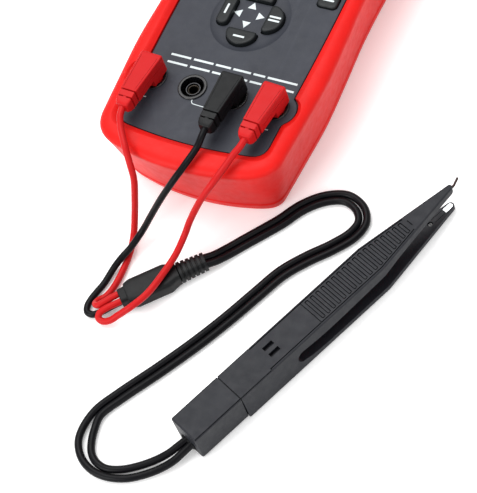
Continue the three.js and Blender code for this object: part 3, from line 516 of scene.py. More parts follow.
def wall_ring(z, distance):
    """A ring of the leaning wall at height z, moved in by distance."""
    lean = WALL_LEAN * max(0, 1 - z / CREASE_Z)
    return at_height(inset(CREASE, lean + distance), z)


# ---- Materials ----
MATERIALS = {}


def fill_sockets(node, values):
    for name, value in values.items():
        node.inputs[name.replace("_", " ")].default_value = value


class Surface:
    """A Principled material with the nodes that its details hang on."""

    def __init__(self, name):
        MATERIALS[name] = bpy.data.materials.new(name)
        MATERIALS[name].use_nodes = True
        self.nodes = MATERIALS[name].node_tree.nodes
        self.links = MATERIALS[name].node_tree.links
        self.shader = self.nodes["Principled BSDF"]
        self.place = self.node("TexCoord").outputs["Object"]

    def node(self, kind, **values):
        """A new node of this kind, with the given values in its sockets."""
        made = self.nodes.new(f"ShaderNode{kind}")
        fill_sockets(made, values)
        return made

    def noise(self, size, detail=3.0, roughness=0.55, stretch=None):
        """Noise whose blotches are about size millimetres across."""
        texture = self.node("TexNoise", Scale=1 / (size * MM), Detail=detail, Roughness=roughness)
        source = self.place
        if stretch:
            mapping = self.node("Mapping", Scale=stretch)
            self.links.new(source, mapping.inputs["Vector"])
            source = mapping.outputs["Vector"]
        self.links.new(source, texture.inputs["Vector"])
        return texture.outputs["Fac"]

    def ranged(self, value, low, high, from_low=0.3, from_high=0.7):
        """A value's usual range turned into another range."""
        node = self.node("MapRange", From_Min=from_low, From_Max=from_high, To_Min=low, To_Max=high)
        self.links.new(value, node.inputs["Value"])
        return node.outputs["Result"]

    def mixed(self, factor, first, second):
        """One colour turned into another by factor. Each is a colour or another node's output."""
        node = self.node("Mix")
        node.data_type = "RGBA"
        self.links.new(factor, node.inputs["Factor"])
        for socket, colour in (("A", first), ("B", second)):
            target = next(s for s in node.inputs if s.name == socket and s.type == "RGBA")
            if isinstance(colour, bpy.types.NodeSocket):
                self.links.new(colour, target)
            else:
                target.default_value = (*colour, 1)
        return next(s for s in node.outputs if s.type == "RGBA")

    def bumps(self, *layers):
        """Bump from (height, depth in millimetres) pairs, the coarsest first."""
        normal = None
        for height, depth in layers:
            node = self.node("Bump", Distance=depth * MM)
            self.links.new(height, node.inputs["Height"])
            if normal:
                self.links.new(normal, node.inputs["Normal"])
            normal = node.outputs["Normal"]
        self.links.new(normal, self.shader.inputs["Normal"])

    def set(self, **values):
        fill_sockets(self.shader, values)

    def drive(self, **outputs):
        for name, output in outputs.items():
            self.links.new(output, self.shader.inputs[name.replace("_", " ")])


def shade_of(colour, factor):
    return tuple(min(1, channel * factor) for channel in colour)


def moulded(name, colour, roughness, grain=0.35, depth=0.02, mottle=0.07, wear=0.12, specular=0.35):
    """Moulded plastic or rubber: fine grain, uneven gloss, soft blotches, dust, and edges rubbed paler."""
    surface = Surface(name)
    blotches = surface.noise(9, detail=4)
    faded = surface.mixed(
        surface.ranged(blotches, 0, 1), shade_of(colour, 1 - mottle), shade_of(colour, 1 + mottle),
    )
    dust = surface.ranged(surface.noise(2.2, detail=6, roughness=0.7), 0, 0.02, 0.6, 0.8)
    dusty = surface.mixed(dust, faded, (0.55, 0.53, 0.5))
    edges = surface.node("NewGeometry").outputs["Pointiness"]
    rubbed = surface.mixed(surface.ranged(edges, 0, wear, 0.52, 0.6), dusty, shade_of(colour, 1.9))
    surface.drive(Base_Color=rubbed)
    gloss = surface.noise(3.5, detail=5, roughness=0.6)
    surface.drive(Roughness=surface.ranged(gloss, roughness - 0.06, roughness + 0.07))
    surface.bumps((surface.noise(6, detail=2), depth * 1.5), (surface.noise(grain, detail=2), depth))
    surface.set(Specular_IOR_Level=specular)


def metal(name, colour, roughness, brush=(1, 1, 12)):
    """Plated metal with fine tool marks and slight tarnish."""
    surface = Surface(name)
    tarnish = surface.ranged(surface.noise(1.8, detail=5), 0, 1, 0.4, 0.75)
    surface.drive(Base_Color=surface.mixed(tarnish, colour, shade_of(colour, 0.72)))
    marks = surface.noise(0.5, detail=3, stretch=brush)
    surface.drive(Roughness=surface.ranged(marks, roughness - 0.06, roughness + 0.1))
    surface.bumps((marks, 0.004))
    surface.set(Metallic=1.0)


def glass(name, tint):
    """A clear cover with a faint smear, thin enough to see the display through."""
    surface = Surface(name)
    surface.set(Base_Color=(*tint, 1), Transmission_Weight=1.0, IOR=1.49, Coat_Weight=0.3)
    surface.drive(Roughness=surface.ranged(surface.noise(8, detail=5), 0.03, 0.12))


def print_ink(name, colour):
    """Screen-printed ink, a little broken up where the panel's grain shows through."""
    surface = Surface(name)
    flecks = surface.ranged(surface.noise(0.4, detail=3), 0, 0.25, 0.55, 0.75)
    surface.drive(Base_Color=surface.mixed(flecks, colour, shade_of(colour, 0.7)))
    surface.set(Roughness=0.55)
    surface.bumps((surface.noise(0.3), 0.01))


RED = (0.64, 0.008, 0.006)
PLUG_RED = (0.47, 0.008, 0.009)
moulded("red_rubber", RED, 0.45, 0.5, 0.025, mottle=0.05, wear=0.05, specular=0.16)
moulded("red_vinyl", PLUG_RED, 0.4, 0.45, 0.015, mottle=0.04, wear=0.04, specular=0.14)
moulded("black_vinyl", (0.003, 0.003, 0.004), 0.36, 0.5, 0.02, specular=0.12)
moulded("black_moulding", (0.003, 0.0035, 0.004), 0.46, 0.35, 0.03, specular=0.22)
moulded("panel_grey", (0.027, 0.030, 0.040), 0.5, 0.22, 0.025, specular=0.28)
moulded("key_rubber", (0.006, 0.008, 0.009), 0.42, 0.4, 0.012, specular=0.25)
moulded("charcoal_plastic", (0.010, 0.011, 0.015), 0.48, 0.2, 0.03, specular=0.25)
moulded("black_plastic", (0.004, 0.004, 0.005), 0.24, 0.5, 0.006, specular=0.4)
# A paler grey laid on each socket sleeve's lip: a painted highlight on the black plastic.
moulded("socket_lip_painted_highlight", (0.05, 0.05, 0.055), 0.35, 0.4, 0.01)
moulded("board_green", (0.015, 0.13, 0.04), 0.4, 1.2, 0.02)
moulded("battery_jacket", (0.03, 0.07, 0.2), 0.3, 2, 0.01)
moulded("silicone", (0.25, 0.26, 0.27), 0.6)
moulded("lcd_glass", (0.36, 0.42, 0.32), 0.22, 1.5, 0.004, mottle=0.03)
metal("steel", (0.68, 0.69, 0.71), 0.26)
# Steel darkened almost to black for the needle: painted shade where the needle faces away from the light.
metal("needle_steel_painted_shade", (0.055, 0.038, 0.035), 0.4)
# Brass darkened almost to black: painted shade for the contacts deep in the socket bores.
metal("brass", (0.045, 0.038, 0.03), 0.45)
glass("lens", (0.55, 0.58, 0.6))
print_ink("white_ink", (0.62, 0.68, 0.69))


def dress(piece, material, *nodes, body="meter", slot=None):
    """Gives a piece its material and body, and hides the CAD nodes that it stands for. Its slot is not used."""
    piece.data.materials.clear()
    piece.data.materials.append(MATERIALS[material])
    if body:
        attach(piece, body)
    if nodes:
        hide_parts(*nodes)


# ---- Holster ----
def bail_outline(grow, top):
    """The U-shaped stand seen from above, with rounded corners, grown by the given clearance."""
    half = STAND_HALF + grow
    inside = STAND_HALF - STAND_BAR - grow
    end = STAND_END - grow
    bar = STAND_END + STAND_BAR + grow
    outer, inner = 7 + grow, 4 - grow
    return [
        Vector((-half, top)),
        *arc((outer - half, end + outer), outer, pi, pi * 1.5, 8),
        *arc((half - outer, end + outer), outer, pi * 1.5, pi * 2, 8),
        Vector((half, top)), Vector((inside, top)),
        *arc((inside - inner, bar + inner), inner, 0, -pi / 2, 8),
        *arc((inner - inside, bar + inner), inner, -pi / 2, -pi, 8),
        Vector((-inside, top)),
    ]


def rim_slope():
    """The air over the rim: the rim falls in a round slope to its inner edge, close over the panel."""
    opening = inset(PANEL, -OPENING_CLEAR)
    half_width, half_length = 35, 86
    rise = RIM_Z + 0.05 - LIP_Z
    rings = []
    steps = 8
    for step in range(steps + 1):
        share = step / steps
        reach = LIP_REACH * share
        rings.append([
            (point.x * (1 + reach / half_width), point.y * (1 + reach / half_length),
             LIP_Z + rise * sin(share * pi / 2))
            for point in opening
        ])
    rings.append([(x, y, RIM_Z + 3) for x, y, z in rings[-1]])
    return loft("rim_slope", rings)


def build_holster():
    """The rubber holster: leaning walls, a soft crease, a sloping rim and a base band."""
    levels = [Vector(level) for level in (
        (0, 0.9), (0.8, 0.1), (5.0, -0.2), (5.5, 0.1), (6.1, 0.35), (17, 0.3), (28, 0.2), (31.5, 0),
        (CREASE_Z, 0.1), (34.3, 0.9), (35.3, 2.6), (35.85, 4.6), (RIM_Z, 6.8),
    )]
    profile = rounded_off(levels, 2, closed=False)
    holster = loft("holster_rubber", [wall_ring(z, distance) for z, distance in profile])
    pocket = loft("pocket", [wall_ring(z, HOLSTER_WALL) for z in (HOLSTER_FLOOR, SHOULDER_Z + 0.4)])
    opening = prism("opening", inset(PANEL, -OPENING_CLEAR), SHOULDER_Z, RIM_Z + 3)
    recess_top = STAND_HINGE.y + STAND_THICK / 2 + STAND_CLEAR
    recess = prism("recess", bail_outline(STAND_CLEAR, recess_top), -1, 3.6)
    tunnel = rod_x("tunnel", -STAND_HALF - TUNNEL_REACH, STAND_HALF + TUNNEL_REACH, STAND_HINGE, STAND_BORE_R)
    combine(holster, [pocket, opening, rim_slope(), recess, tunnel])
    soften(holster, 0.3, angle=50)
    dress(holster, "red_rubber", "holster")


def build_stand():
    """The tilt stand: a rounded bail with a barrel round the hinge pin on each leg, and a grip on its bar."""
    low = STAND_HINGE.z - STAND_THICK / 2
    high = low + STAND_THICK
    stand = prism("tilt_stand_rubber", bail_outline(0, STAND_HINGE.y), low, high)
    inside = STAND_HALF - STAND_BAR
    barrels = [
        rod_x("barrel", side * inside, side * STAND_HALF, STAND_HINGE, STAND_THICK / 2) for side in (-1, 1)
    ]
    combine(stand, barrels, "UNION")
    bore = rod_x("bore", -STAND_HALF - 1, STAND_HALF + 1, STAND_HINGE, STAND_BORE_R)
    grip_y = STAND_END + STAND_BAR / 2
    grips = [
        block("grip", (x - 0.6, grip_y - 2.6, low - 1), (x + 0.6, grip_y + 2.6, low + 0.5))
        for x in (-9, -6, -3, 0, 3, 6, 9)
    ]
    combine(stand, [bore, *grips])
    soften(stand, 0.3, angle=50)
    dress(stand, "red_rubber", "tilt_stand", body="tilt_stand")


# ---- Front case and buttons ----
def half_moon(x, y, angle, grow):
    """A key of the dish. The middle of its round edge is at x, y, and it bulges out at the given angle."""
    edge = arc((0, 0), 7.1 + grow, -1.3, 1.3, 24)
    corner = [Vector((0.9 - 0.3 * grow, 6.9 + grow)), Vector((-0.6 - grow, 6.6 + grow)),
              Vector((-0.6 - grow, 5.2 + 0.4 * grow))]
    edge += corner + [Vector((point.x, -point.y)) for point in reversed(corner)]
    turn = Matrix.Rotation(angle, 2)
    return [turn @ point + Vector((x, y)) for point in rounded_off(edge, 2)]


def rectangle_key(x, y, width, height, radius):
    return lambda grow: rounded_rectangle(width + 2 * grow, height + 2 * grow, radius + grow, (x, y))


KEYS = {
    "button_dish_right": lambda grow: half_moon(6.9, -16.3, 0, grow),
    "button_dish_top": lambda grow: half_moon(-1.1, -7.8, pi / 2, grow),
    "button_dish_left": rectangle_key(-12.3, -16.4, 5.6, 15, 2.5),
    "button_dish_bottom": lambda grow: half_moon(-1.1, -25.3, -pi / 2, grow),
    "button_side_left": rectangle_key(-28.6, -1.1, 9.2, 7, 2),
    "button_side_right": rectangle_key(28.6, -1.1, 9.2, 7, 2),
    "button_row_1": rectangle_key(-27, 16, 11, 6.4, 2),
    "button_row_2": rectangle_key(-9, 16, 11, 6.4, 2),
    "button_row_3": rectangle_key(9, 16, 11, 6.4, 2),
    "button_row_4": rectangle_key(27, 16, 11, 6.4, 2),
}


def dish_cutter():
    """The shallow dish round the keys: nearly flat, with a crisp outer edge."""
    steps = 20
    profile = [(0, PANEL_Z - DISH_DEPTH)]
    for step in range(steps + 1):
        share = 0.5 + 0.5 * step / steps
        profile.append((DISH_R * share, PANEL_Z + 0.01 - DISH_DEPTH * (1 - share**8)))
    profile += [(DISH_R, PANEL_Z + 1), (0, PANEL_Z + 1)]
    return lathe("dish", profile, DISH, sides=96)


def build_front_case():
    case = loft("front_case_panel", [wall_ring(z, CASE_INSET) for z in (SPLIT_Z, SHOULDER_Z)])
    inner = CASE_INSET + CASE_WALL
    hollow = loft("hollow", [wall_ring(SPLIT_Z - 1, inner), wall_ring(SHOULDER_Z - CASE_TOP_WALL, inner)])
    edge = [(-1, 0), (PANEL_Z - SHOULDER_Z - 0.6, 0), (PANEL_Z - SHOULDER_Z - 0.18, 0.14),
            (PANEL_Z - SHOULDER_Z, 0.55)]
    raised = loft("raised", [at_height(inset(PANEL, distance), SHOULDER_Z + rise) for rise, distance in edge])
    combine(case, [raised], "UNION")
    low, high = SHOULDER_Z - 3, PANEL_Z + 1
    cuts = [hollow, dish_cutter(), prism("window", rounded_rectangle(*LCD_SIZE, 2.5, LCD), low, high)]
    cuts += [prism("key_hole", outline(BUTTON_CLEAR), low, high) for outline in KEYS.values()]
    cuts += [prism("jack_hole", circle(jack, JACK_HOLE_R, 64), low, high) for jack in JACKS]
    combine(case, cuts)
    soften(case, 0.14, angle=40, segments=2)
    dress(case, "panel_grey", "front_case")


def build_buttons():
    """Rubber keys with a flange below the panel and a softly crowned top."""
    crown = [(0.9, 0), (0.5, 0.06), (0.22, 0.22), (0.08, 0.5), (0.02, 1.0), (0, 1.6)]
    for name, outline in KEYS.items():
        flange = outline(FLANGE_REACH)
        cap = outline(0)
        rings = [at_height(flange, BUTTON_LOW), at_height(flange, BUTTON_LOW + FLANGE_THICK)]
        rings.append(at_height(cap, BUTTON_LOW + FLANGE_THICK))
        rings += [at_height(shrunk(cap, distance), BUTTON_TOP - drop) for drop, distance in crown]
        key = loft(f"{name}_key", rings)
        soften(key, angle=40)
        dress(key, "key_rubber", name, body=name)
        centre = middle_of(name).xy
        width, height = KEY_MARK[::-1] if name == "button_dish_left" else KEY_MARK
        bars = (0.9, -0.9) if name == "button_dish_right" else (0,)
        for index, offset in enumerate(bars):
            mark = rounded_rectangle(width, height, 0.3, (centre.x, centre.y + offset))
            bar = prism(f"{name}_mark_{index + 1}", mark, BUTTON_TOP - 0.04, BUTTON_TOP + 0.02)
            dress(bar, "white_ink", body=name, slot="key_rubber")


def ribbon(points, width):
    """The outline of a line of the given width that follows the points."""
    points = [Vector(point) for point in points]
    lefts, rights = [], []
    for index, point in enumerate(points):
        before = points[max(index - 1, 0)]
        after = points[min(index + 1, len(points) - 1)]
        along = (after - before).normalized()
        side = Vector((-along.y, along.x)) * width / 2
        lefts.append(point + side)
        rights.append(point - side)
    return rights + lefts[::-1]


def build_prints():
    """Plain printed marks: four direction triangles in the dish, and plain lines by the sockets."""
    floor = PANEL_Z - DISH_DEPTH
    marks = (((2.3, -15.3), 0), ((-2.8, -11.2), pi / 2), ((-7.5, -15.7), pi), ((-2.15, -20.3), -pi / 2))
    for index, (centre, angle) in enumerate(marks):
        corners = [
            Vector(centre) + 2.25 * Vector((cos(angle + turn), sin(angle + turn)))
            for turn in (0, 2 * pi / 3, 4 * pi / 3)
        ]
        mark = prism(f"direction_mark_{index + 1}", corners, floor - 0.02, floor + 0.03)
        dress(mark, "white_ink", slot="panel_grey")
    top = (PANEL_Z - 0.02, PANEL_Z + 0.03)
    hook = [(-6.9, -63.2), *arc((-5.4, -63.6), 1.5, pi, pi * 1.5, 8), (0.4, -65.3)]
    lines = [
        ("guard_line", hook, 0.35),
        ("dash_left", [(-28.5, -67.3), (-26.9, -67.3)], 0.5),
        ("dash_right", [(29, -68.1), (30.3, -68.1)], 0.5),
    ]
    bars = ((-26, -16.6), (-15.2, -6), (-4.8, 2.2), (3.4, 11.6), (12.8, 18.2), (19.4, 33))
    for row, y in (("upper", -44.1), ("lower", -48.0)):
        for index, (start, end) in enumerate(bars):
            lines.append((f"rule_{row}_{index + 1}", [(start, y), (end, y)], 1.0))
    for name, points, width in lines:
        mark = prism(f"print_{name}", ribbon(points, width), *top)
        dress(mark, "white_ink", slot="panel_grey")


def build_display():
    """A black mask under the window, so that the display's edge is hidden."""
    width, height = LCD_SIZE
    mask = prism("lcd_mask", rounded_rectangle(width - 0.7, height - 0.7, 2, LCD), PANEL_Z - 2.3, PANEL_Z - 2)
    view = prism("view", rounded_rectangle(width - 8, height - 8, 1.5, LCD), PANEL_Z - 3, PANEL_Z - 1)
    combine(mask, [view])
    dress(mask, "black_plastic")


# ---- Sockets ----
def build_jacks():
    for index, jack in enumerate(JACKS):
        floor, top = (corner.z for corner in box_mm(f"jack_housing_{index + 1}"))
        mouth = PANEL_Z - 1
        housing = lathe(f"jack_housing_{index + 1}_moulding", [
            (1.3, floor), (5.6, floor), (5.6, PANEL_Z + GAP), (6.2, PANEL_Z + GAP), (6.3, top - 0.25),
            (6.18, top - 0.06), (5.95, top), (5.3, top), (5.02, top - 0.08), (JACK_R, top - 0.35),
            (JACK_R, floor + 1.6), (3.15, floor + 1.6), (3.15, mouth - 0.2), (3.05, mouth), (2.85, mouth),
            (2.75, mouth - 0.15), (2.75, floor + 1.6), (1.3, floor + 1.6),
        ], jack, closed=True)
        soften(housing, angle=50)
        dress(housing, "black_plastic", f"jack_housing_{index + 1}")
        # A thin ring of paler plastic on the sleeve's lip: a painted highlight.
        ring = lathe(f"jack_lip_highlight_{index + 1}", [
            (2.82, mouth - 0.05), (3.08, mouth - 0.05), (3.08, mouth + 0.04), (2.82, mouth + 0.04),
        ], jack, closed=True)
        dress(ring, "socket_lip_painted_highlight", slot="black_plastic")
        low = box_mm(f"jack_contact_{index + 1}")[0].z
        contact = lathe(f"jack_contact_{index + 1}_tube", [
            (0, low), (0.8, low), (1, low + 0.2), (1, floor + 1.9), (2.45, floor + 1.9), (2.45, mouth - 0.7),
            (2.35, mouth - 0.6), (2.05, mouth - 0.65), (1.9, mouth - 0.8), (1.9, floor + 2.9),
            (0, floor + 2.9),
        ], jack, sides=48)
        soften(contact, angle=50)
        # Its brass is darkened as painted shade in the bore.
        dress(contact, "brass", f"jack_contact_{index + 1}")


# ---- Plugs ----
def bar_ring(y, half, low, high, radius, steps=4):
    """A ring of a bar that runs along Y: a rounded rectangle, half to both sides and from low to high."""
    outline = rounded_rectangle(2 * half, high - low, radius, (0, (low + high) / 2), steps)
    return [(point.x, y, point.y) for point in outline]


PLUGS = {
    "plug_red_left": (0, -2.3, "red_vinyl", "red_vinyl"),
    "plug_black": (2, -1.3, "black_moulding", "black_vinyl"),
    "plug_red_right": (3, -3.8, "red_vinyl", "red_vinyl"),
}
PLUG_BASE = 1.1


def build_plug(name, jack, turn, material, slot):
    """A shrouded elbow plug: a square shroud over the socket and a flat handle with a stepped nose."""
    middle = Vector((JACKS[jack].x, JACKS[jack].y, PANEL_Z)) * MM
    place = Matrix.Translation(middle) @ Matrix.Rotation(radians(turn), 4, "Z")
    handle = [
        (-22.4, 2.3, 6.0, 10.5, 0.9), (-22.2, 2.6, 5.7, 10.8, 1.0), (-21.1, 3.1, 5.2, 11.3, 0.9),
        (-19.2, 3.4, 5.0, 11.7, 0.6), (-19.2, 2.5, 5.8, 10.9, 0.5), (-18.5, 2.5, 5.8, 10.9, 0.5),
        (-18.5, 3.4, 5.0, 11.75, 0.4), (-16, 3.4, 4.9, 11.85, 0.4), (-16, 2.6, 5.7, 11.1, 0.4),
        (-15.3, 2.6, 5.7, 11.1, 0.4), (-15.3, 3.7, 4.8, 12.0, 0.45), (4.2, 4.95, 4.6, 10.85, 0.55),
        (4.9, 4.8, 4.75, 10.65, 0.6), (5.2, 4.45, 5.0, 10.3, 0.6),
    ]
    foot = [
        (-4.4, 4.4, PLUG_BASE, 7, 0.45), (4.2, 4.95, PLUG_BASE, 7, 0.45), (4.9, 4.8, PLUG_BASE, 7, 0.5),
        (5.2, 4.45, PLUG_BASE + 0.3, 6.8, 0.5),
    ]
    body = loft(f"{name}_moulding", [bar_ring(*level) for level in handle], place)
    shroud = loft("shroud", [bar_ring(*level) for level in foot], place)
    bridge = block("bridge", (-0.8, -19.4, 9), (0.8, -18.3, 11.5), place)
    sleeve = lathe("sleeve", [(3.45, -12), (4.55, -12), (4.55, 1.6), (3.45, 1.6)], closed=True, place=place)
    combine(body, [shroud, bridge, sleeve], "UNION")
    core = lathe("core", [(0, 0.1), (2.2, 0.1), (2.2, 7), (0, 7)], sides=32, place=place)
    lines = []
    for side in (-1, 1):
        line = [(side * 2.7, -14.6), (side * 3.8, 3.0)]
        lines.append(prism("line", ribbon(line, 0.14), 10.4, 13, place))
        seam = [(side * 3.5, -13.2, 7.9), (side * 3.8, -6.4, 7.9), (side * 4.2, 3.2, 6.6)]
        for start, end in zip(seam, seam[1:]):
            across = ((-1.4, -0.1), (1.4, -0.1), (1.4, 0.1), (-1.4, 0.1))
            rings = [[(x + side * 1.4 + dx, y, z + dz) for dx, dz in across] for x, y, z in (start, end)]
            lines.append(loft("seam", rings, place))
    combine(body, [core, *lines])
    soften(body, 0.16, angle=40, segments=2)
    dress(body, material, f"{name}_body", slot=slot)


# ---- Junction ----
JUNCTION_TURN = radians(-44.5)
JUNCTION_LENGTH = 38.8
JUNCTION_Z = 4


def junction_place():
    """The junction ends where the two cords start, and points along them."""
    end = Vector(CORD_ROUTE[0]) / MM
    turn = Matrix.Rotation(JUNCTION_TURN, 4, "Z")
    start = end - turn @ Vector((0, JUNCTION_LENGTH + GAP, 0))
    return Matrix.Translation(Vector((start.x, start.y, 0)) * MM) @ turn


def oval_ring(y, half_width, half_height, square=0.46, sides=48):
    """A squarish oval across the junction."""
    ring = []
    for side in range(sides):
        angle = 2 * pi * side / sides
        flat = [abs(value) ** square * (1 if value >= 0 else -1) for value in (cos(angle), sin(angle))]
        ring.append((half_width * flat[0], y, JUNCTION_Z + half_height * flat[1]))
    return ring


def build_junction():
    place = junction_place()
    levels = [
        (0, 3.3, 3.0), (0.3, 3.6, 3.3), (2.9, 3.75, 3.45), (3.1, 3.9, 3.5), (3.3, 4.9, 3.7), (5.6, 5.8, 3.93),
        (6.4, 5.95, 3.95), (20.6, 5.95, 3.95), (21.4, 5.8, 3.9), (24.4, 4.5, 3.6), (25.2, 4.3, 3.5),
        (26, 4.25, 3.5),
    ]
    body = loft("junction_body_moulding", [oval_ring(*level) for level in levels], place)
    soften(body, 0.2, angle=30)
    dress(body, "black_moulding", "junction_body", slot="black_vinyl")
    rings = [oval_ring(25.2, 3.0, 2.3), oval_ring(26.1, 3.4, 2.6)]
    ribs, start = 6, 26.3
    pitch = (JUNCTION_LENGTH - start) / ribs
    thick = pitch * 0.74
    for rib in range(ribs):
        y = start + rib * pitch
        half = 4.5 - 0.14 * rib
        edge = half - 0.25
        levels = [(0, edge, 3.2), (0.15, half, 3.45), (thick - 0.15, half, 3.45), (thick, edge, 3.2)]
        if rib + 1 < ribs:
            levels += [(thick + 0.03, half - 0.7, 2.7), (pitch - 0.03, half - 0.7, 2.7)]
        rings += [oval_ring(y + along, *sizes, square=0.7) for along, *sizes in levels]
    relief = loft("junction_strain_relief_moulding", rings, place)
    soften(relief, angle=40)
    dress(relief, "black_moulding", "junction_strain_relief", slot="black_vinyl")


# ---- Tweezers ----
def tweezers_place():
    """The tweezers' own frame: +Y along them from their rear face, which their hinge line fixes."""
    hinge = joint("lower_arm_flex")
    across = Vector(hinge["axis"])
    along = Vector((-across.y, across.x, 0))
    origin = Vector(hinge["pos_m"]) - along * ARM_ROOT * MM
    origin.z = 0
    turn = Matrix((across, along, Vector((0, 0, 1)))).transposed().to_4x4()
    return Matrix.Translation(origin) @ turn


TWEEZERS = tweezers_place()


def half_width(y):
    taper = max(0, (y - ARM_TAPER) / (ARM_TIP - ARM_TAPER))
    return ARM_HALF - (ARM_HALF - 1.1) * taper


def block_ring(y, shrink=0.0):
    """A ring of the tweezers' body: sides that spread towards the base, and rounded edges."""
    half = half_width(y) - shrink
    low = half + BODY_DRAFT * half / ARM_HALF
    top = TWEEZERS_TOP - shrink
    right = [
        (low - 0.5, shrink), (low - 0.14, shrink + 0.15), (low, shrink + 0.5), (half + 0.06, top - 0.75),
        (half - 0.02, top - 0.4), (half - 0.2, top - 0.14), (half - 0.5, top - 0.02), (half - 0.8, top),
    ]
    left = [(-x, z) for x, z in reversed(right)]
    return [(x, y, z) for x, z in right + left]


def tweezer_block(name, stations):
    return loft(name, [block_ring(*station) for station in stations], TWEEZERS)


def side_cutter(name, profile):
    """A side view, as (y, z) pairs, drawn right across the tweezers."""
    rings = [[(x, y, z) for y, z in profile] for x in (-14, 14)]
    return loft(name, rings, TWEEZERS)


def slot_outline():
    """The whole slot between the arms, seen from the side, from its round end to past the tips."""
    upper = [(ARM_ROOT, SLOT_Z + SLOT_R), (70, 8.9), (98, 9.9), (112, 11), (130, 11.3), (150, 11.3)]
    lower = [(ARM_ROOT, SLOT_Z - SLOT_R), (66, 2.6), (104, 2.5), (150, 2.5)]
    top = through(upper, 8)
    bottom = through(lower, 8)
    end = arc((ARM_ROOT, SLOT_Z), SLOT_R, pi / 2, pi * 1.5, 16)
    return [*reversed(top), *end, *bottom]


def groove_tool(name, points, width=0.46, depth=0.7):
    """A narrow groove in the tweezers' top face along the points."""
    return prism(name, ribbon(points, width), TWEEZERS_TOP - depth, TWEEZERS_TOP + 1, TWEEZERS)


RIBS = {"count": 18, "first": 69.7, "pitch": 2.88, "width": 1.8, "depth": 0.85, "margin": 1.8, "groove": 0.42}
LID_STEP = 41  # where the lid's seam steps in from the edge


def round_nose(name, y, radius, low, high):
    """What is cut away to leave a round nose at the end of an arm."""
    outline = [(-4, y), *arc((0, y), radius, pi, 0, 20), (4, y), (4, 153), (-4, 153)]
    return prism(name, outline, low, high, TWEEZERS)


def tongue_outline(grow):
    """The bright end of the contact leaf."""
    half = 1.05 + grow
    return [(-half, 140.3 - grow), (half, 140.3 - grow), *arc((0, 143.6), half, 0, pi, 16)]


def build_moulding():
    """The body and both arms: one moulding, parted at the slot's middle height into an upper and a lower half."""
    rear = CAP_LENGTH + GAP
    flexing = [44 + 1.5 * step for step in range(17)]
    stations = [(rear, 0.15), (rear + 0.15, 0), (30, 0), (36, 0), (LID_STEP, 0)]
    stations += [(y, 0) for y in (*flexing, 76, 84, 92, ARM_TAPER, 110, 120, 130, 138, ARM_TIP - 0.5)]
    stations.append((ARM_TIP, 0.35))
    tools = [side_cutter("slot", slot_outline())]
    for index in range(RIBS["count"]):
        y = RIBS["first"] + index * RIBS["pitch"]
        half = half_width(y) - RIBS["margin"]
        centre = (0, y + RIBS["width"] / 2)
        outer = rounded_rectangle(2 * half, RIBS["width"], 0.5, centre, 3)
        cut = 2 * RIBS["groove"]
        inner = rounded_rectangle(2 * half - cut, RIBS["width"] - cut, 0.2, centre, 3)
        tools.append(prism("rib", outer, TWEEZERS_TOP - 0.12, TWEEZERS_TOP + 1, TWEEZERS))
        low = TWEEZERS_TOP - RIBS["depth"]
        tools.append(frame_prism("rib_edge", outer, inner, low, TWEEZERS_TOP + 1, TWEEZERS))
    for side in (-1, 1):
        path = [(side * (ARM_HALF + 0.5), LID_STEP), (side * (ARM_HALF - 1), LID_STEP)]
        tools.append(groove_tool("lid_step", path))
        edge = [(side * (half_width(y) - 1), y) for y in (LID_STEP - 0.1, 70, ARM_TAPER, 122)]
        tools.append(groove_tool("lid_line", edge))
        edge = [(side * (ARM_HALF - 0.3), CAP_LENGTH), (side * (ARM_HALF - 0.3), LID_STEP)]
        tools.append(groove_tool("edge_line", edge, 0.26, 0.6))
    tools.append(groove_tool("lid_end", [(1 - ARM_HALF, 68.3), (ARM_HALF - 1, 68.3)]))
    tools.append(groove_tool("short_mark", [(-1.6, 122.8), (1.6, 122.8)]))
    windows = [
        block("window", (x - 0.95, 44.6, TWEEZERS_TOP - 2), (x + 0.95, 49.6, TWEEZERS_TOP + 1), TWEEZERS)
        for x in (-2, 1.8)
    ]
    bore = block("pin_bore", (-0.8, 138, 12.1), (0.8, 150, 13.7), TWEEZERS)
    noses = [
        round_nose("lower_nose", 143.7, 1.5, -1, 5),
        round_nose("upper_nose", ARM_TIP - 1.25, 1.15, 9, 16),
    ]
    seat = prism("seat", tongue_outline(0.1), 2.15, 4, TWEEZERS)
    hole = prism("hole", circle(SCREW, 1.15, 32), 1.0, 4, TWEEZERS)
    pocket = block("pocket", (-1.7, 127.8, 1.4), (1.7, 140.2, 2.0), TWEEZERS)
    for x in (-1, 1):
        strip = ribbon([(x, 133.6), (x, 139.6)], 0.22)
        tools.append(prism("strip", strip, 2.25, 4, TWEEZERS))
    whole = tweezer_block("tweezer_moulding", stations)
    combine(whole, [*tools, *windows, bore, *noses, seat, hole, pocket])
    halves = {
        "upper": (SLOT_Z, 30, "upper_arm", ["tweezer_body", "tweezer_upper_arm"]),
        "lower": (-10, SLOT_Z, "lower_arm", ["tweezer_lower_arm"]),
    }
    for level, (low, high, body, nodes) in halves.items():
        half = new_object(f"tweezer_{level}_moulding", whole.data.copy())
        keep = block("keep", (-20, 0, low), (20, 170, high), TWEEZERS)
        combine(half, [keep], "INTERSECT")
        soften(half, angle=30)
        dress(half, "charcoal_plastic", *nodes, body=None)
        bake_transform(half)
    bpy.data.objects.remove(whole)


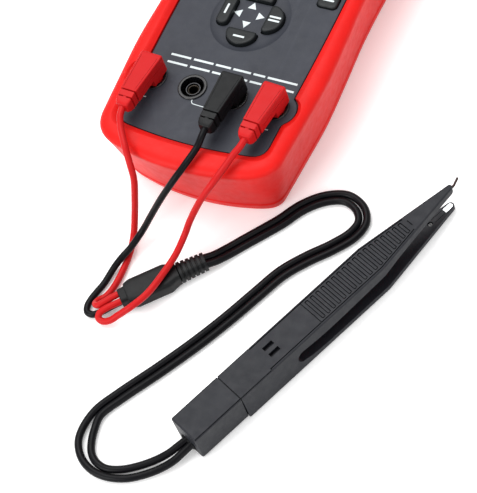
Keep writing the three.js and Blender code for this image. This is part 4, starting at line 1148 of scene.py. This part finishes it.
def build_cap():
    """The rear cap, with a mouth for the cord grommet, and the neck that closes the gap behind the body, darkened
    as painted shade in that seam.
    """
    stations = [(0, 0.8), (0.12, 0.35), (0.4, 0.1), (0.9, 0), (CAP_LENGTH - 0.15, 0), (CAP_LENGTH, 0.12)]
    rings = [
        bar_ring(y, ARM_HALF + 0.1 - shrink, shrink, TWEEZERS_TOP - shrink, 0.9, 5) for y, shrink in stations
    ]
    cap = loft("tweezer_rear_cap_moulding", rings, TWEEZERS)
    pocket = block("pocket", (-5.8, 2, 1.8), (5.8, CAP_LENGTH + 1, TWEEZERS_TOP - 1.8), TWEEZERS)
    mouth = block("mouth", (-4.3, -1, 2.2), (4.3, 3, 6.6), TWEEZERS)
    edge = ARM_HALF - 0.35
    seams = [groove_tool("seam", [(x, -1), (x, 30)], 0.3, 0.6) for x in (-edge, edge)]
    combine(cap, [pocket, mouth, *seams])
    soften(cap, 0.12, angle=40, segments=2)
    dress(cap, "charcoal_plastic", "tweezer_rear_cap")
    inset_by = 0.7
    half = ARM_HALF - inset_by
    low, high = (-half, CAP_LENGTH - 1, inset_by), (half, CAP_LENGTH + 1.2, TWEEZERS_TOP - inset_by)
    # The neck is dressed darker than the body's own plastic: painted shade in the seam between cap and body.
    neck = block("tweezer_neck_seam_shade", low, high, TWEEZERS)
    dress(neck, "black_moulding", "tweezer_body", slot="charcoal_plastic")


def build_grommet():
    """A soft gland round both cords, with a collar behind the rear face."""
    middle = 4.4
    levels = [
        (-0.8, 3.5, 1.5, 1.2), (-0.5, 3.9, 1.9, 1.4), (2.2, 3.9, 1.9, 1.4), (2.4, 5, 2.8, 1.4),
        (4.4, 5, 2.8, 1.4),
    ]
    rings = [bar_ring(y, half, middle - tall, middle + tall, radius, 6) for y, half, tall, radius in levels]
    grommet = loft("tweezer_cord_gland", rings, TWEEZERS)
    soften(grommet, 0.1, angle=40, segments=2)
    dress(grommet, "black_moulding", "tweezer_cord_grommet", slot="black_vinyl")


def build_tips():
    """The upper arm's needle and the lower arm's flat contact leaf with its screw."""
    needle = [(0, 138, 12.9), (0, 146.4, 12.9), (-0.4, 148.6, 13.4), (-0.9, 150.6, 14.1)]
    points = [TWEEZERS @ (point * MM) for point in through([Vector(point) for point in needle], 6)]
    points.insert(0, TWEEZERS @ (Vector(needle[0]) * MM))
    radii = [0.54] * (len(points) - 1) + [0.4]
    turns = [2 * pi * step / 16 for step in range(16)]
    across = [TWEEZERS.to_3x3() @ Vector((cos(turn), 0, sin(turn))) for turn in turns]
    rings = [[point / MM + radius * way for way in across] for point, radius in zip(points, radii)]
    pin = loft("tweezer_tip_needle", rings)
    soften(pin, angle=50)
    # The needle's steel is darkened with painted shade.
    dress(pin, "needle_steel_painted_shade", "tweezer_tip_pin", body="upper_arm", slot="steel")

    stations = [
        (128, 1.5, 1.5), (138.8, 1.4, 1.5), (139.6, 1.2, 1.6), (140.4, 1.05, 2.15), (143.6, 1.05, 2.2),
        (144.1, 0.92, 2.2), (144.4, 0.7, 2.2), (144.6, 0.35, 2.2),
    ]
    rings = [bar_ring(y, half, low, low + 0.4, 0.06) for y, half, low in stations]
    leaf = loft("tweezer_tip_leaf", rings, TWEEZERS)
    eye = prism("eye", circle(SCREW, 1.25, 32), 1, 4, TWEEZERS)
    combine(leaf, [eye])
    soften(leaf, angle=40)
    dress(leaf, "steel", "tweezer_tip_blade", body="lower_arm")
    # The steel screw head is dressed in black plastic: painted shade for the hole that it sits in.
    screw = prism("tweezer_screw_head_painted_shade", circle(SCREW, 0.85, 32), 1.1, 1.9, TWEEZERS)
    slit = block("slit", (-1, SCREW[1] - 0.15, 1.6), (1, SCREW[1] + 0.15, 4), TWEEZERS)
    combine(screw, [slit])
    soften(screw, 0.06, angle=40, segments=2)
    dress(screw, "black_plastic", "tweezer_blade_screw", body="lower_arm", slot="steel")


# ---- Cords, dressed ----
def dress_cords():
    """Dresses each lead and cord. The lengths, far ends and fittings listed for them are not used."""
    facts = {
        "lead_red_left": (0.1076, LEAD_D, "plug", ["plug_red_left_moulding", "plug_red_left_pin"]),
        "lead_black": (0.1153, LEAD_D, "plug", ["plug_black_moulding", "plug_black_pin"]),
        "lead_red_right": (0.1177, LEAD_D, "plug", ["plug_red_right_moulding", "plug_red_right_pin"]),
        "cord_outer": (0.2784, CORD_D, "fitting", ["junction_strain_relief_moulding"]),
        "cord_inner": (0.2753, CORD_D, "fitting", ["junction_body_moulding"]),
    }
    for name, (length, diameter, far_end, fittings) in facts.items():
        dress(CORDS[name], "red_vinyl" if "red" in name else "black_vinyl", name)


def dress_frame():
    """The CAD nodes that stay: inner pieces and fasteners, each in its slot's material."""
    slots = {row["node"]: row["material_slot"] for row in frame["record"]["subparts"]}
    for name, node in frame["nodes"].items():
        if not node.hide_render:
            node.data.materials.clear()
            node.data.materials.append(MATERIALS[slots[name]])


# ---- Studio ----
def area_light(name, place, target, size, power):
    data = bpy.data.lights.new(name, "AREA")
    data.shape = "SQUARE"
    data.size = size
    data.energy = power
    light = new_object(name, data)
    light.location = place
    light.rotation_euler = (Vector(place) - Vector(target)).to_track_quat("Z", "Y").to_euler()


def build_studio():
    """A pale floor, a bright even sky, and soft lights from above, from the front and from the right."""
    reach = 3000
    floor = block("floor", (-reach, -reach, -1.2), (reach, reach, -0.2))
    paper = Surface("floor_paper")
    speckle = paper.ranged(paper.noise(30, detail=2), 0, 1)
    paper.drive(Base_Color=paper.mixed(speckle, (0.93, 0.93, 0.93), (0.95, 0.95, 0.95)))
    paper.set(Roughness=0.8, Emission_Color=(1, 1, 1, 1), Emission_Strength=0.2)
    floor.data.materials.append(MATERIALS["floor_paper"])
    world = bpy.data.worlds.new("sky")
    world.use_nodes = True
    world.node_tree.nodes["Background"].inputs["Color"].default_value = (1, 1, 1, 1)
    world.node_tree.nodes["Background"].inputs["Strength"].default_value = 0.62
    bpy.context.scene.world = world
    target = (0.03, -0.09, 0)
    area_light("top", (-0.25, 0.15, 1.0), target, 0.9, 10)
    area_light("front", (-0.35, -0.95, 0.55), target, 0.6, 6.5)
    area_light("right", (0.9, -0.55, 0.45), target, 0.6, 2)
    bpy.context.scene.view_settings.view_transform = "Standard"


build_holster()
build_stand()
build_front_case()
build_buttons()
build_prints()
build_display()
build_jacks()
for plug_name, plug_facts in PLUGS.items():
    build_plug(plug_name, *plug_facts)
build_junction()
build_cap()
build_moulding()
build_grommet()
build_tips()
dress_cords()
dress_frame()
build_studio()
